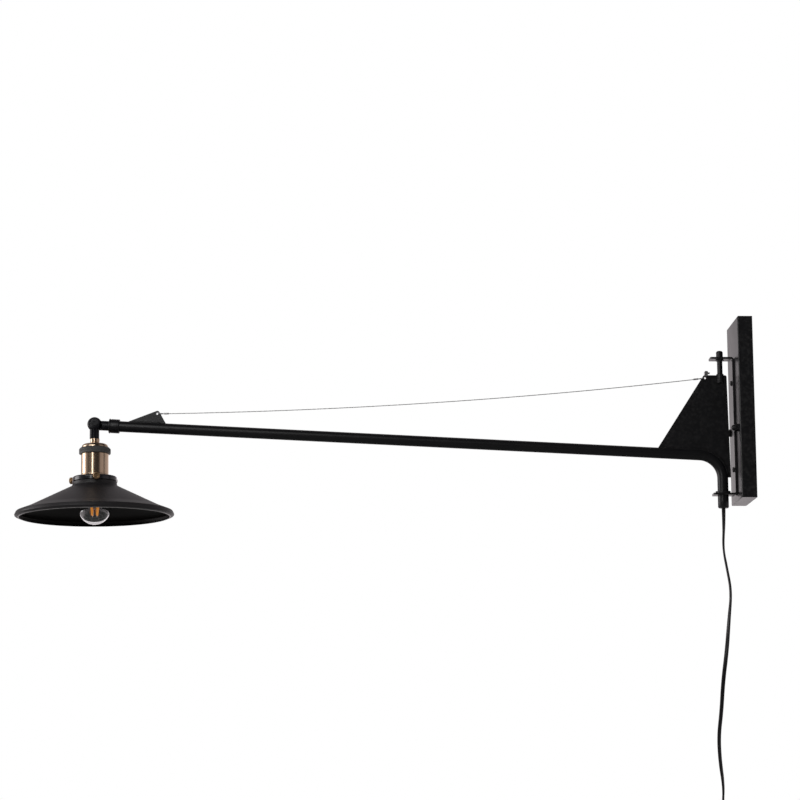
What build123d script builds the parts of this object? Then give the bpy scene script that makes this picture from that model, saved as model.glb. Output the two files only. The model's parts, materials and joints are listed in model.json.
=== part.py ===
from build123d import *
from math import atan2, degrees, hypot, pi, radians, sqrt, tan
import os

os.makedirs("parts", exist_ok=True)

# Long-arm wall lamp. Millimetres, +Z up. The wall is the plane X = 0 and the arm reaches out along -X.
# The origin is on the wall, midway between the two wall screws.

# ---- wall plate and what fastens it
plate_height = 270.0
plate_width = 96.0
plate_depth = 22.0
plate_sheet = 1.5
plate_fold = 1.6        # outer radius of the folded front edges
plate_lift = 28.5       # centre of the plate above the wall screws
bar_length = 90.0
bar_height = 24.0
bar_thickness = 2.5
bar_corner = 3.0
wall_screw_spacing = 74.0
wall_slot_length = 9.0
wall_slot_width = 5.0
stud_spacing = 48.0
stud_radius = 2.95
nut_across_flats = 10.0
nut_hex_height = 4.5
nut_dome_radius = 4.7
nut_hole_radius = 3.0
nut_hole_depth = 7.2
stud_end_gap = 0.6       # between a stud's end and the floor of its nut
hole_clearance = 0.25   # round a screw that only passes through

# ---- hinge bracket
bracket_height = 207.0
bracket_width = 20.0
bracket_reach = 35.0
bracket_strip = 3.0
bracket_bend = 4.5      # outer radius of the two bends
bracket_centre = 6.0    # above the wall screws
bracket_tip_round = 2.0
bracket_screw_spacing = 130.0
screw_radius = 2.0
screw_head_radius = 3.8
screw_head_height = 2.4
screw_slot = (1.0, 4.0, 1.6)   # slot in a pan head: width, length, twice its depth
screw_tail = 1.5         # thread past the nut
bracket_nut_flats = 7.0
bracket_nut_height = 3.2

# ---- pivot
pivot_standoff = 20.0   # pivot axis in front of the plate
pin_radius = 4.0
pin_foot_radius = 5.5
pin_foot_length = 14.0
pin_foot_chamfer = 1.0
pin_slot_depth = 11.6
pin_spigot_radius = 3.0
pin_spigot_length = 7.0
cap_radius = 4.6
cap_height = 10.6
cap_chamfer = 0.4
washer_radius = 6.0
washer_thickness = 1.5
running_fit = 0.06      # radial clearance of a shaft that turns in a hole
thrust_gap = 0.12       # between faces that slide on each other

# ---- arm
tube_radius = 8.0
tube_wall = 1.2
tube_bend = 35.0        # centre-line radius
tube_below_lug = 17.6
arm_root_height = 55.9  # arm axis above the lower lug, on the pivot axis
arm_rise = 2.68         # degrees the arm climbs towards the lamp
arm_reach = 930.0       # pivot axis to knuckle axis
collar_radius = 11.0
collar_thickness = 3.0
collar_chamfer = 0.6
bush_flange_radius = 7.4
bush_flange = 1.0
bush_length = 9.0

# ---- plates on the arm
gusset_thickness = 4.0
gusset_below_lug = 23.4
gusset_top_front = 24.6  # top corner in front of the pivot axis
gusset_top_back = 9.5    # top corner behind the pivot axis
gusset_low_back = 12.0
gusset_low_height = 24.0  # lower end above the lower lug
gusset_foot = 94.6       # where the front edge meets the tube, from the pivot axis
gusset_round = 2.5
gusset_sunk = 5.6        # how deep the front foot reaches into the tube before it is cut away
wire_hole_radius = 1.7
wire_hole_in = 22.8      # wire hole in front of the pivot axis
wire_hole_down = 4.2     # wire hole below the top edge
tip_plate_near = 50.2    # ends of the small plate, from the knuckle axis
tip_plate_far = 105.4
tip_plate_peak = 93.2
tip_plate_height = 27.0  # peak above the arm axis, before rounding
tip_plate_round = 3.5
tip_hole_back = 91.9
tip_hole_height = 21.9

# ---- stay wire
wire_radius = 0.6
wire_sag = 9.8
wire_pair_offset = 0.66  # half the distance between the two strands in a sleeve
wire_loop_offset = 3.4   # strands beside the plate
wire_bend = 1.3
wire_wide_bend = 2.9
wire_beside = 3.4        # straight strand beside the plate, past the hole's edge
wire_lead = 1.0          # straight strand before the sleeve
wire_play = 0.05         # between wire and the edge of its hole
loop_length = 10.0       # from the hole to the sleeve
sleeve_length = 7.0
sleeve_wall = 0.55
clamp_size = 5.0
clamp_height = 6.2
clamp_seat = 1.6
clamp_cheek = 1.5        # each side of the gusset
clamp_round = 1.4
clamp_inset = 1.2        # from the gusset's corner
clamp_screw_height = 3.4
clamp_screw_radius = 1.3
clamp_screw_length = 3.0

# ---- knuckle
knuckle_radius = 10.6
knuckle_half_width = 7.5
knuckle_lift = 1.6       # knuckle axis above the arm axis
neck_radius = 7.2
neck_end = 22.0          # from the knuckle axis to the coupling
coupling_radius = 10.4
coupling_flange = 10.8
coupling_flange_width = 1.6
coupling_step = 0.8
coupling_chamfer = 0.6
coupling_length = 15.4
coupling_seat = 8.4      # how far the tube goes in
spigot_radius = 5.6
cable_bore = 3.6
joint_gap = 0.1
sweep_gap = 0.3          # between a half and the other half's round part
corner_gap = 2.0         # the same, in the corner between stem and neck
pivot_screw_radius = 2.0
pivot_screw_head = 3.0
pivot_screw_recess = 1.6
pivot_screw_slot = (1.0, 1.4, 4.6)   # width, twice its depth, length
pocket_inner = 3.2       # room for the cable round the pivot screw
pocket_outer = 6.4
pocket_depth = 3.4
pocket_overlap = 0.3     # of the cable's bore and the pocket
stem_radius = 7.0
stem_length = 22.0

# ---- lamp head, heights above the lower edge of the shade
head_lean = 1.3          # degrees the head hangs in from plumb
knuckle_height = 139.0
nipple_radius = 6.5
nipple_thread = 5.0
nipple_thread_length = 7.0
cap_top = 109.8
cap_side_radius = 19.5
cap_shoulder = 5.2
cap_wall = 1.2
ring_top = 103.6
ring_bottom = 94.1
ring_radius = 23.4
ring_bevel = 2.4
ring_chamfer = 0.8
shell_radius = 20.0
shell_wall = 1.0
shell_top = 98.0
shell_bead_radius = 20.6
shell_bead_height = 2.4
shell_skirt_radius = 18.9
shell_mouth = 43.0
holder_top = 60.4
holder_height = 6.8
holder_radius = 32.2
holder_sheet = 1.2
holder_round = 2.4
lock_ring_radius = 23.0
lock_ring_height = 4.6
lock_ring_chamfer = 0.8
insert_radius = 17.6
insert_shoulder_radius = 18.6
insert_top = 90.0
insert_floor = 70.0
insert_chamfer = 1.5
insert_lift = 1.0        # the insert's lower face above the shell's mouth
sleeve_lift = 3.0        # the thread sleeve's lower edge above the shell's mouth
sleeve_drop = 1.0        # the thread sleeve's upper edge below the well's floor
thread_sleeve_radius = 13.9
thread_sleeve_wall = 0.45
contact_width = 7.0
contact_thickness = 0.8
contact_end_gap = 0.5    # between the tongue and the wall of the well
contact_side_gap = 0.3

# ---- shade
shade_sheet = 1.0
shade_collar_drop = 0.6  # top of the collar below the holder's sheet
shade_collar_fit = 0.4   # between the collar and the holder's wall
shade_flange_radius = 26.0
shade_neck_drop = 0.4    # top of the neck below the holder's wall
shade_neck_inset = 0.2   # the neck is this much narrower than the holder
shade_neck_step = 1.0
shade_neck_wall = 5.85077  # straight neck between its step and the cone
shade_rim_radius = 116.0
shade_rim_height = 2.7
shade_rim_lean = 2.7     # how far the lip leans out from its top to the rim
shade_lip_top = 8.3
shade_brim_width = 16.9  # flared band between cone and lip
shade_brim_height = 14.8
shade_turn_in = 7.2      # how far the lip is turned in below the rim

# ---- thumb screws
thumb_count = 3
thumb_first_angle = -77.4
thumb_drop = 3.8         # screw axis below the holder's top
thumb_shank_radius = 2.0
thumb_head_radius = 5.0
thumb_head_length = 4.0
thumb_stand = 2.4        # bare shank between holder and head
thumb_tip_gap = 0.3
thumb_chamfer = 0.5
thumb_dimple_radius = 2.75
thumb_dimple_depth = 0.8

# ---- bulb
bulb_radius = 22.5
bulb_centre = 11.9
bulb_glass_wall = 0.8
bulb_neck_radius = 12.2
bulb_neck_top = 42.0
bulb_throat = 9.0        # radius where the ball turns into the neck
bulb_cap_radius = 13.1
bulb_cap_bottom = 37.0
bulb_cap_top = 60.5
bulb_contact_top = 66.4
bulb_contact_radius = 4.8
bulb_contact_height = 1.0
bulb_cap_wall = 0.5
filament_radius = 1.0
filament_low = 2.6
filament_high = 30.0
filament_low_x = (-0.6, 3.7)   # two pairs, one leaning
filament_high_x = (-6.0, 4.8)
filament_low_y = 2.2
filament_high_y = 5.2
stem_glass_radius = 2.6
stem_glass_low = 12.0
stem_flare_low = 33.0
stem_flare_high = 39.0
stem_glass_top = 40.0

# ---- cord
cord_width = 6.0
hank_runs = 7
hank_run_length = 118.0
hank_inner_turn = 18.0   # offset of the innermost run from the middle of the hank
hank_step = 3.8          # each half turn's step out
hank_draw = 15.0         # how far the tie draws every run in
hank_layer_step = 6.9
hank_tied_length = 10.0
hank_lead_in = 8.0       # straight cord above the first run
hank_top = -574.0        # where the runs of the hank start
tie_height = 9.0
tie_thickness = 1.3
tie_clearance = 0.2

# ---- plug
plug_tail = 40.0         # cord between the last run and the plug
plug_width = 35.0
plug_thickness = 14.0
plug_length = 34.0
relief_length = 21.0
relief_tip_radius = 4.2
pin_spacing = 18.6
plug_pin_radius = 2.0
plug_pin_length = 19.0
plug_pin_root = 1.5      # radius of the part moulded into the plug
plug_pin_depth = 10.0
plug_shoulder_inset = 1.0   # the relief's upper end is this much thinner on each side
plug_shoulder_width = 17.5
plug_swell = 8.0         # length over which the grip swells
plug_corner = 6.0

# ---- places worked out from the sizes above
plate_face = -plate_depth
pivot_x = plate_face - pivot_standoff
lug_top = bracket_centre + bracket_height / 2
lug_under = lug_top - bracket_strip
low_lug_under = bracket_centre - bracket_height / 2
low_lug_top = low_lug_under + bracket_strip
tube_end = low_lug_under - tube_below_lug
arm_root = low_lug_top + arm_root_height
gusset_top = lug_under - gusset_below_lug
cord_radius = cord_width / 2
bush_bottom = tube_end - bush_flange
holder_bottom = holder_top - holder_height
shade_collar_top = holder_top - holder_sheet - shade_collar_drop
shade_collar_radius = holder_radius - holder_sheet - shade_collar_fit
shade_neck_top = holder_bottom - shade_neck_drop
shade_neck_radius = holder_radius - shade_neck_inset
thumb_height = holder_top - thumb_drop
shade_lip_radius = shade_rim_radius - shade_rim_lean
shade_brim_radius = shade_lip_radius - shade_brim_width


def arm_height(out):
    """Height of the arm axis at a distance out from the pivot axis."""
    return arm_root + out * tan(radians(arm_rise))


# the arm frame: local x runs along the arm axis towards the wall, local z up, origin under the knuckle
arm_tip = Location((pivot_x - arm_reach, 0, arm_height(arm_reach)), (0, arm_rise, 0))
knuckle_at = (arm_tip * Pos(0, 0, knuckle_lift)).position
# the head frame: local z runs up the head's axis, origin in the plane of the shade's lower edge
head = Pos(knuckle_at) * Rot(0, -head_lean, 0) * Pos(0, 0, -knuckle_height)


def save(name, shape):
    """Write one sub-part to its STEP file."""
    export_step(shape, f"parts/{name}.step")


def bar_x(radius, x0, x1, y=0.0, z=0.0):
    """Round bar along X."""
    return Pos(min(x0, x1), y, z) * Rot(0, 90, 0) * upright(radius, 0, abs(x1 - x0))


def bar_y(radius, y0, y1, x=0.0, z=0.0):
    """Round bar along Y."""
    return Pos(x, min(y0, y1), z) * Rot(-90, 0, 0) * upright(radius, 0, abs(y1 - y0))


def upright(radius, z0, z1):
    """Round bar along Z."""
    return Pos(0, 0, (z0 + z1) / 2) * Cylinder(radius, z1 - z0)


def sleeve(outer, inner, z0, z1):
    """Ring along Z."""
    return upright(outer, z0, z1) - upright(inner, z0, z1)


def hexagon(flats, height):
    """Hexagonal prism along Z, standing on its origin."""
    return extrude(RegularPolygon(flats / 2, 6, major_radius=False), height)


def turned(*points):
    """Solid of revolution about Z from the corners (radius, height) of half its section."""
    outline = Polyline(*[(r, 0, z) for r, z in points], close=True)
    return revolve(make_face(outline), Axis.Z)


def wall_plate():
    """Folded steel box, open at the back, with holes for the studs and the bracket screws."""
    block = Box(plate_depth, plate_width, plate_height)
    front = block.faces().sort_by(Axis.X)[0]
    block = fillet(front.edges(), plate_fold)
    inside = Box(plate_depth, plate_width - 2 * plate_sheet, plate_height - 2 * plate_sheet)
    plate = Pos(plate_face / 2, 0, plate_lift) * (block - Pos(plate_sheet, 0, 0) * inside)
    for y in (-stud_spacing / 2, stud_spacing / 2):
        plate -= bar_x(stud_radius + hole_clearance, plate_face - 1, plate_face + 3 * plate_sheet, y)
    for z in bracket_screw_heights():
        plate -= bar_x(screw_radius + hole_clearance, plate_face - 1, plate_face + 3 * plate_sheet, 0, z)
    return plate


def bracket_screw_heights():
    return [bracket_centre - bracket_screw_spacing / 2, bracket_centre + bracket_screw_spacing / 2]


def wall_crossbar():
    """Strap on the wall behind the plate: a slot for each wall screw, a hole for each stud."""
    bar = Pos(-bar_thickness / 2, 0, 0) * Box(bar_thickness, bar_length, bar_height)
    bar = fillet(bar.edges().filter_by(Axis.X), bar_corner)
    slot = extrude(Plane.YZ * SlotOverall(wall_slot_length, wall_slot_width), 2 * bar_thickness, both=True)
    for y in (-wall_screw_spacing / 2, wall_screw_spacing / 2):
        bar -= Pos(0, y, 0) * slot
    for y in (-stud_spacing / 2, stud_spacing / 2):
        bar -= bar_x(stud_radius, 0, -bar_thickness, y)
    return bar


def crossbar_studs():
    end = plate_face - nut_hole_depth + stud_end_gap
    return Compound([bar_x(stud_radius, 0, end, y) for y in (-stud_spacing / 2, stud_spacing / 2)])


def cap_nut():
    """Domed nut on the plate's face, with its blind hole."""
    nut = hexagon(nut_across_flats, nut_hex_height) + Pos(0, 0, nut_hex_height) * (
        Sphere(nut_dome_radius) - Pos(0, 0, -nut_dome_radius) * Box(*[2 * nut_dome_radius] * 3)
    )
    nut = nut - upright(nut_hole_radius, 0, nut_hole_depth)
    return Rot(0, -90, 0) * nut


def cap_nuts():
    return Compound([Pos(plate_face, y, 0) * cap_nut() for y in (-stud_spacing / 2, stud_spacing / 2)])


def hinge_bracket():
    """Flat strip bent to a C: the back lies on the plate, a lug stands out at each end."""
    x_mid = plate_face - bracket_reach / 2
    outer = Pos(x_mid, bracket_centre) * Rectangle(bracket_reach, bracket_height)
    outer = fillet(outer.vertices().sort_by(Axis.X)[-2:], bracket_bend)
    inner = Pos(x_mid - bracket_strip, bracket_centre) * Rectangle(
        bracket_reach, bracket_height - 2 * bracket_strip
    )
    inner = fillet(inner.vertices().sort_by(Axis.X)[-2:], bracket_bend - bracket_strip)
    strip = extrude(Plane.XZ * (outer - inner), bracket_width / 2, both=True)
    tips = strip.edges().filter_by(Axis.Z).sort_by(Axis.X)[:4]
    strip = fillet(tips, bracket_tip_round)
    strip -= Pos(pivot_x, 0, 0) * upright(pin_radius + running_fit, lug_under - 1, lug_top + 1)
    strip -= Pos(pivot_x, 0, 0) * upright(tube_radius + running_fit, low_lug_under - 1, low_lug_top + 1)
    for z in bracket_screw_heights():
        strip -= bar_x(screw_radius + hole_clearance, plate_face + 1, plate_face - bracket_strip - 1, 0, z)
    return strip


def bracket_screws():
    """Pan-head screws through strip and plate."""
    seat = plate_face - bracket_strip
    inner_end = plate_face + plate_sheet + bracket_nut_height + screw_tail
    screws = []
    for z in bracket_screw_heights():
        head_blank = upright(screw_head_radius, 0, screw_head_height)
        head_blank = fillet(head_blank.edges().sort_by(Axis.Z)[-1], screw_head_height * 0.6)
        head_blank -= Pos(0, 0, screw_head_height) * Box(*screw_slot)
        shank = bar_x(screw_radius, seat, inner_end, 0, z)
        screws.append(Pos(seat, 0, z) * Rot(0, -90, 0) * head_blank + shank)
    return Compound(screws)


def bracket_nuts():
    nuts = []
    for z in bracket_screw_heights():
        nut = hexagon(bracket_nut_flats, bracket_nut_height) - upright(screw_radius, 0, bracket_nut_height)
        nuts.append(Pos(plate_face + plate_sheet, 0, z) * Rot(0, 90, 0) * nut)
    return Compound(nuts)


def arm_line(low, out):
    """Centre line of the bent tube from a height on the pivot axis to a distance out along the arm."""
    foot = (pivot_x, 0, low)
    corner = (pivot_x, 0, arm_root)
    far = (pivot_x - out, 0, arm_height(out))
    return FilletPolyline(foot, corner, far, radius=tube_bend)


tube_out = arm_reach - neck_end - coupling_length + coupling_seat
tube_core = sweep(Plane((pivot_x, 0, tube_end)) * Circle(tube_radius), arm_line(tube_end, tube_out))


def arm_tube():
    """Bent tube: the upright leg turns in the lower lug, the long leg carries the lamp."""
    bore = sweep(Plane((pivot_x, 0, tube_end)) * Circle(tube_radius - tube_wall), arm_line(tube_end, tube_out))
    return tube_core - bore


def gusset_corners():
    """Front foot, top front, top back and low back corners of the big gusset, as (x, z)."""
    foot = (pivot_x - gusset_foot, arm_height(gusset_foot) + tube_radius)
    top_front = (pivot_x - gusset_top_front, gusset_top)
    top_back = (pivot_x + gusset_top_back, gusset_top)
    low_back = (pivot_x + gusset_low_back, low_lug_top + gusset_low_height)
    return foot, top_front, top_back, low_back


def wire_hole_at():
    return pivot_x - wire_hole_in, gusset_top - wire_hole_down


def main_gusset():
    """Flat plate welded round the outside of the bend; its front edge slants up to the wire's hole."""
    foot, top_front, top_back, low_back = gusset_corners()
    slant = (top_front[1] - foot[1]) / (top_front[0] - foot[0])
    bend = arm_line(tube_end, tube_out).edges().filter_by(GeomType.CIRCLE)[0]
    outline = Polyline(
        low_back, top_back, top_front, (foot[0] - gusset_sunk / slant, foot[1] - gusset_sunk),
        ((bend @ 1).X, (bend @ 1).Z), ((bend @ 0.5).X, (bend @ 0.5).Z), (pivot_x, low_back[1]),
        close=True,
    )
    face = make_face(outline)
    corners = face.vertices().sort_by(Axis.Y)[-2:]
    face = fillet(corners, gusset_round)
    plate = extrude(Plane.XZ * face, gusset_thickness / 2, both=True)
    plate -= tube_core
    x, z = wire_hole_at()
    return plate - bar_y(wire_hole_radius, -gusset_thickness, gusset_thickness, x, z)


def pivot_pin():
    """Upper pin: a slotted foot straddles the gusset, the shank turns in the upper lug."""
    foot_low = gusset_top - pin_slot_depth
    foot_high = foot_low + pin_foot_length
    shoulder = lug_top + thrust_gap
    pin = turned(
        (0, foot_low), (pin_foot_radius, foot_low), (pin_foot_radius, foot_high - pin_foot_chamfer),
        (pin_foot_radius - pin_foot_chamfer, foot_high), (pin_radius, foot_high), (pin_radius, shoulder),
        (pin_spigot_radius, shoulder), (pin_spigot_radius, shoulder + pin_spigot_length),
        (0, shoulder + pin_spigot_length),
    )
    slot = Pos(0, 0, foot_low + pin_slot_depth / 2) * Box(
        4 * pin_foot_radius, gusset_thickness, pin_slot_depth
    )
    return Pos(pivot_x, 0, 0) * (pin - slot)


def pivot_cap():
    """Cap on the pin's spigot above the upper lug."""
    low = lug_top + thrust_gap
    blank = upright(cap_radius, low, low + cap_height)
    blank = fillet(blank.edges().sort_by(Axis.Z)[-1], cap_radius * 0.6)
    blank = chamfer(blank.edges().sort_by(Axis.Z)[0], cap_chamfer)
    return Pos(pivot_x, 0, 0) * (blank - upright(pin_spigot_radius, low, low + pin_spigot_length))


def pivot_washer():
    high = lug_under - thrust_gap
    return Pos(pivot_x, 0, 0) * sleeve(washer_radius, pin_radius, high - washer_thickness, high)


def thrust_collar():
    """Ring on the tube that carries the arm on the lower lug."""
    low = low_lug_top + thrust_gap
    ring = sleeve(collar_radius, tube_radius, low, low + collar_thickness)
    return Pos(pivot_x, 0, 0) * chamfer(ring.edges().sort_by(Axis.Z)[-1], collar_chamfer)


def cord_bush():
    """Bush in the lower end of the tube, round the cord."""
    plug = upright(tube_radius - tube_wall, tube_end, tube_end + bush_length)
    flange = upright(bush_flange_radius, bush_bottom, tube_end)
    flange = fillet(flange.edges().sort_by(Axis.Z)[0], bush_flange * 0.6)
    return Pos(pivot_x, 0, 0) * (plug + flange - upright(cord_radius, bush_bottom, tube_end + bush_length))


def inner_cable():
    """Cable inside the tube, from the bush to the knuckle."""
    path = arm_line(bush_bottom, arm_reach - knuckle_radius - corner_gap)
    return sweep(Plane((pivot_x, 0, bush_bottom)) * Circle(cord_radius), path)


def tip_gusset():
    """Small plate on top of the tube near the lamp, with the wire's other hole."""
    corners = [
        (tip_plate_near, 0), (tip_plate_near, tube_radius), (tip_plate_peak, tip_plate_height),
        (tip_plate_far, tube_radius), (tip_plate_far, 0),
    ]
    outline = Polyline(*corners, close=True)
    face = make_face(outline)
    peak = face.vertices().sort_by(Axis.Y)[-1]
    face = fillet(peak, tip_plate_round)
    plate = arm_tip * extrude(Plane.XZ * face, gusset_thickness / 2, both=True)
    plate -= tube_core
    return plate - arm_tip * bar_y(
        wire_hole_radius, -gusset_thickness, gusset_thickness, tip_hole_back, tip_hole_height
    )


def wire_ends():
    """The two holes and the wire's slope at each, in the plane of the arm."""
    tip = (arm_tip * Pos(tip_hole_back, 0, tip_hole_height)).position
    x, z = wire_hole_at()
    chord = atan2(z - tip.Z, x - tip.X)
    droop = 4 * wire_sag / hypot(x - tip.X, z - tip.Z)
    return (tip.X, tip.Z), chord - droop, (x, z), chord + droop


def loop_place(hole, angle):
    """Frame at a hole: local x points along the wire, away from the plate, local y across it."""
    return Location((hole[0], 0, hole[1]), (0, -degrees(angle), 0))


def loop_points(place):
    """Route of an end loop, from the end of the tail through the hole to the sleeve's far end."""
    far = loop_length + sleeve_length
    off, wide = wire_pair_offset, wire_loop_offset
    inside = wire_hole_radius - wire_radius - wire_play
    beside = inside + wire_beside
    lead = loop_length - wire_lead
    local = [(far, -off), (lead, -off), (beside, -wide), (inside, -wide), (inside, wide),
             (beside, wide), (lead, off), (far, off)]
    return [(place * Pos(x, y, 0)).position for x, y in local]


def stay_wire():
    """One wire: a loop through each plate, and the sagging span between the two sleeves."""
    tip, tip_slope, wall, wall_slope = wire_ends()
    near = loop_points(loop_place(tip, tip_slope))
    far = loop_points(loop_place(wall, wall_slope + pi))[::-1]
    radii = [wire_wide_bend] * 2 + [wire_bend] * 2 + [wire_wide_bend] * 2
    first = FilletPolyline(*near, radius=radii)
    last = FilletPolyline(*far, radius=radii)
    span = TangentArc(near[-1], far[0], tangent=near[-1] - near[-2])
    path = Wire(first.edges() + span.edges() + last.edges())
    section = Plane(origin=path @ 0, z_dir=path % 0) * Circle(wire_radius)
    return sweep(section, path)


def wire_ferrules():
    """Oval sleeves crimped on the two strands of each loop."""
    tip, tip_slope, wall, wall_slope = wire_ends()
    wide = 2 * (wire_pair_offset + wire_radius + sleeve_wall)
    tall = 2 * (wire_radius + sleeve_wall)
    ferrules = []
    for place in (loop_place(tip, tip_slope), loop_place(wall, wall_slope + pi)):
        body = extrude(Plane.YZ * SlotOverall(wide, tall), sleeve_length)
        for y in (-wire_pair_offset, wire_pair_offset):
            body -= bar_x(wire_radius, 0, sleeve_length, y)
        ferrules.append(place * Pos(loop_length, 0, 0) * body)
    return Compound(ferrules)


def clamp_frame():
    """On the top front corner of the big gusset, square to its top edge."""
    x = pivot_x - gusset_top_front + clamp_size / 2 + clamp_inset
    return Pos(x, 0, gusset_top)


def wire_clamp():
    """Small steel clamp that sits astride the gusset's corner."""
    body = Pos(0, 0, (clamp_height - clamp_seat) / 2) * Box(
        clamp_size, gusset_thickness + 2 * clamp_cheek, clamp_height + clamp_seat
    )
    body = fillet(body.edges().filter_by(Axis.Y).group_by(Axis.Z)[-1], clamp_round)
    body -= Pos(0, 0, -clamp_seat / 2) * Box(2 * clamp_size, gusset_thickness, clamp_seat)
    body -= bar_x(clamp_screw_radius, 0, clamp_size, 0, clamp_screw_height)
    return clamp_frame() * body


def clamp_screw():
    """Grub screw in the side of the clamp."""
    screw = bar_x(clamp_screw_radius, 0, clamp_screw_length + clamp_size / 2, 0, clamp_screw_height)
    return clamp_frame() * screw


def arm_coupling():
    """Turned coupling between the tube and the knuckle's neck."""
    far = neck_end + coupling_length
    seat = far - coupling_seat
    groove = neck_end + coupling_flange_width
    body = turned(
        (spigot_radius, neck_end), (coupling_flange, neck_end), (coupling_flange, groove),
        (coupling_radius, groove + coupling_step), (coupling_radius, far - coupling_chamfer),
        (coupling_radius - coupling_chamfer, far), (tube_radius, far), (tube_radius, seat),
        (spigot_radius, seat),
    )
    return arm_tip * Rot(0, 90, 0) * body


def half_ball(side):
    """Half of the knuckle, a ball with flat cheeks, on one side (-1 or 1) of the arm's plane."""
    depth = knuckle_half_width - joint_gap / 2
    slab = Pos(0, side * (joint_gap / 2 + depth / 2), 0) * Box(50, depth, 50)
    return Sphere(knuckle_radius) & slab


def pocket(side):
    """Room for the cable round the pivot screw."""
    depth = side * pocket_depth
    return bar_y(pocket_outer, 0, depth) - bar_y(pocket_inner, 0, depth)


def other_side_cut(side):
    """What must be cleared on the other side so that the two halves can turn."""
    far, near = -side * 2 * knuckle_radius, side * joint_gap / 2
    corner = Pos(knuckle_radius, 0, -knuckle_radius) * Box(
        2 * knuckle_radius, 8 * knuckle_radius, 2 * knuckle_radius
    )
    wide = bar_y(knuckle_radius + corner_gap, far, near) & corner
    return bar_y(knuckle_radius + sweep_gap, far, near) + wide


def knuckle_arm_half():
    """Half that is screwed into the coupling."""
    neck = bar_x(neck_radius, 0, neck_end, 0, -knuckle_lift)
    seat = neck_end + coupling_length - coupling_seat
    spigot = bar_x(spigot_radius, neck_end, seat, 0, -knuckle_lift)
    half = half_ball(1) + (neck - other_side_cut(1)) + spigot - pocket(1)
    half -= bar_x(cable_bore, pocket_outer - pocket_overlap, seat, 0, -knuckle_lift)
    half -= bar_y(pivot_screw_radius, -1, knuckle_half_width + 1)
    return arm_tip * Pos(0, 0, knuckle_lift) * half


def knuckle_screw():
    """Screw on which the head tilts; its head lies in the near cheek."""
    seat = -knuckle_half_width + pivot_screw_recess
    under, face = seat - thrust_gap, seat - thrust_gap - pivot_screw_recess
    screw = bar_y(pivot_screw_radius, under, knuckle_half_width) + bar_y(pivot_screw_head, under, face)
    screw -= Pos(0, face, 0) * Box(*pivot_screw_slot)
    return arm_tip * Pos(0, 0, knuckle_lift) * screw


def knuckle_head_half():
    """Half that carries the head: near cheek and stem."""
    stem = upright(stem_radius, -stem_length, 0)
    half = half_ball(-1) + (stem - other_side_cut(-1)) - pocket(-1)
    half -= upright(cable_bore, -stem_length, pocket_overlap - pocket_outer)
    half -= upright(nipple_thread, -stem_length, -stem_length + nipple_thread_length)
    half -= bar_y(pivot_screw_radius + running_fit, -knuckle_half_width - 1, 1)
    recess_floor = pivot_screw_recess - knuckle_half_width
    half -= bar_y(pivot_screw_head + sweep_gap, -knuckle_half_width - 1, recess_floor)
    return head * Pos(0, 0, knuckle_height) * half


def socket_nipple():
    """Brass stem between the knuckle and the socket's cap, threaded at both ends."""
    high = knuckle_height - stem_length
    body = turned(
        (cable_bore, cap_top - nipple_thread_length), (nipple_thread, cap_top - nipple_thread_length),
        (nipple_thread, cap_top), (nipple_radius, cap_top), (nipple_radius, high),
        (nipple_thread, high), (nipple_thread, high + nipple_thread_length),
        (cable_bore, high + nipple_thread_length),
    )
    return head * body


def head_lead():
    """Cable from the knuckle down to the socket insert."""
    return head * upright(cord_radius, insert_top, knuckle_height - knuckle_radius - corner_gap)


def dome_half(radius, top, shoulder, low, hole):
    """Half section of a cap with a rounded shoulder, down to its low edge."""
    line = FilletPolyline((hole, top), (radius, top), (radius, low), radius=shoulder)
    return make_face(line + Polyline((radius, low), (hole, low), (hole, top)))


def socket_cap():
    """Brass dome over the socket, drawn from sheet."""
    outer = dome_half(cap_side_radius, cap_top, cap_shoulder, shell_top, nipple_thread)
    inner = dome_half(
        cap_side_radius - cap_wall, cap_top - cap_wall, cap_shoulder - cap_wall, shell_top, nipple_thread
    )
    return head * revolve(Plane.XZ * (outer - inner), Axis.Z)


def socket_ring():
    """Threaded ring that joins cap and shell; its grip is bevelled top and bottom."""
    return head * turned(
        (cap_side_radius, ring_top), (ring_radius - ring_bevel, ring_top), (ring_radius, ring_top - ring_bevel),
        (ring_radius, ring_bottom + ring_chamfer), (ring_radius - ring_chamfer, ring_bottom),
        (shell_radius, ring_bottom),
        (shell_radius, shell_top), (cap_side_radius, shell_top),
    )


def socket_shell():
    """Brass sleeve with a bead above the shade holder and a threaded skirt through it."""
    bead_top = holder_top + shell_bead_height
    inner = shell_radius - shell_wall
    skirt_inner = shell_skirt_radius - shell_wall
    return head * turned(
        (inner, shell_top), (shell_radius, shell_top),
        (shell_radius, bead_top + shell_bead_radius - shell_radius), (shell_bead_radius, bead_top),
        (shell_bead_radius, holder_top), (shell_skirt_radius, holder_top),
        (shell_skirt_radius, shell_mouth), (skirt_inner, shell_mouth), (skirt_inner, bead_top),
        (inner, bead_top),
    )


def socket_insert():
    """Ceramic body inside the shell, with the well for the bulb's thread."""
    low = shell_mouth + insert_lift
    body = upright(insert_radius, low, insert_top)
    body += upright(insert_shoulder_radius, holder_top + shell_bead_height, insert_top)
    body = chamfer(body.edges().sort_by(Axis.Z)[-1], insert_chamfer)
    well = upright(thread_sleeve_radius, low, insert_floor)
    slot = Pos(0, 0, insert_floor + contact_thickness / 2) * Box(
        2 * thread_sleeve_radius, contact_width, contact_thickness
    )
    return head * (body - well - slot)


def screw_shell():
    """Threaded sleeve that takes the bulb's cap."""
    inner = thread_sleeve_radius - thread_sleeve_wall
    return head * sleeve(
        thread_sleeve_radius, inner, shell_mouth + sleeve_lift, insert_floor - sleeve_drop
    )


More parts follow.
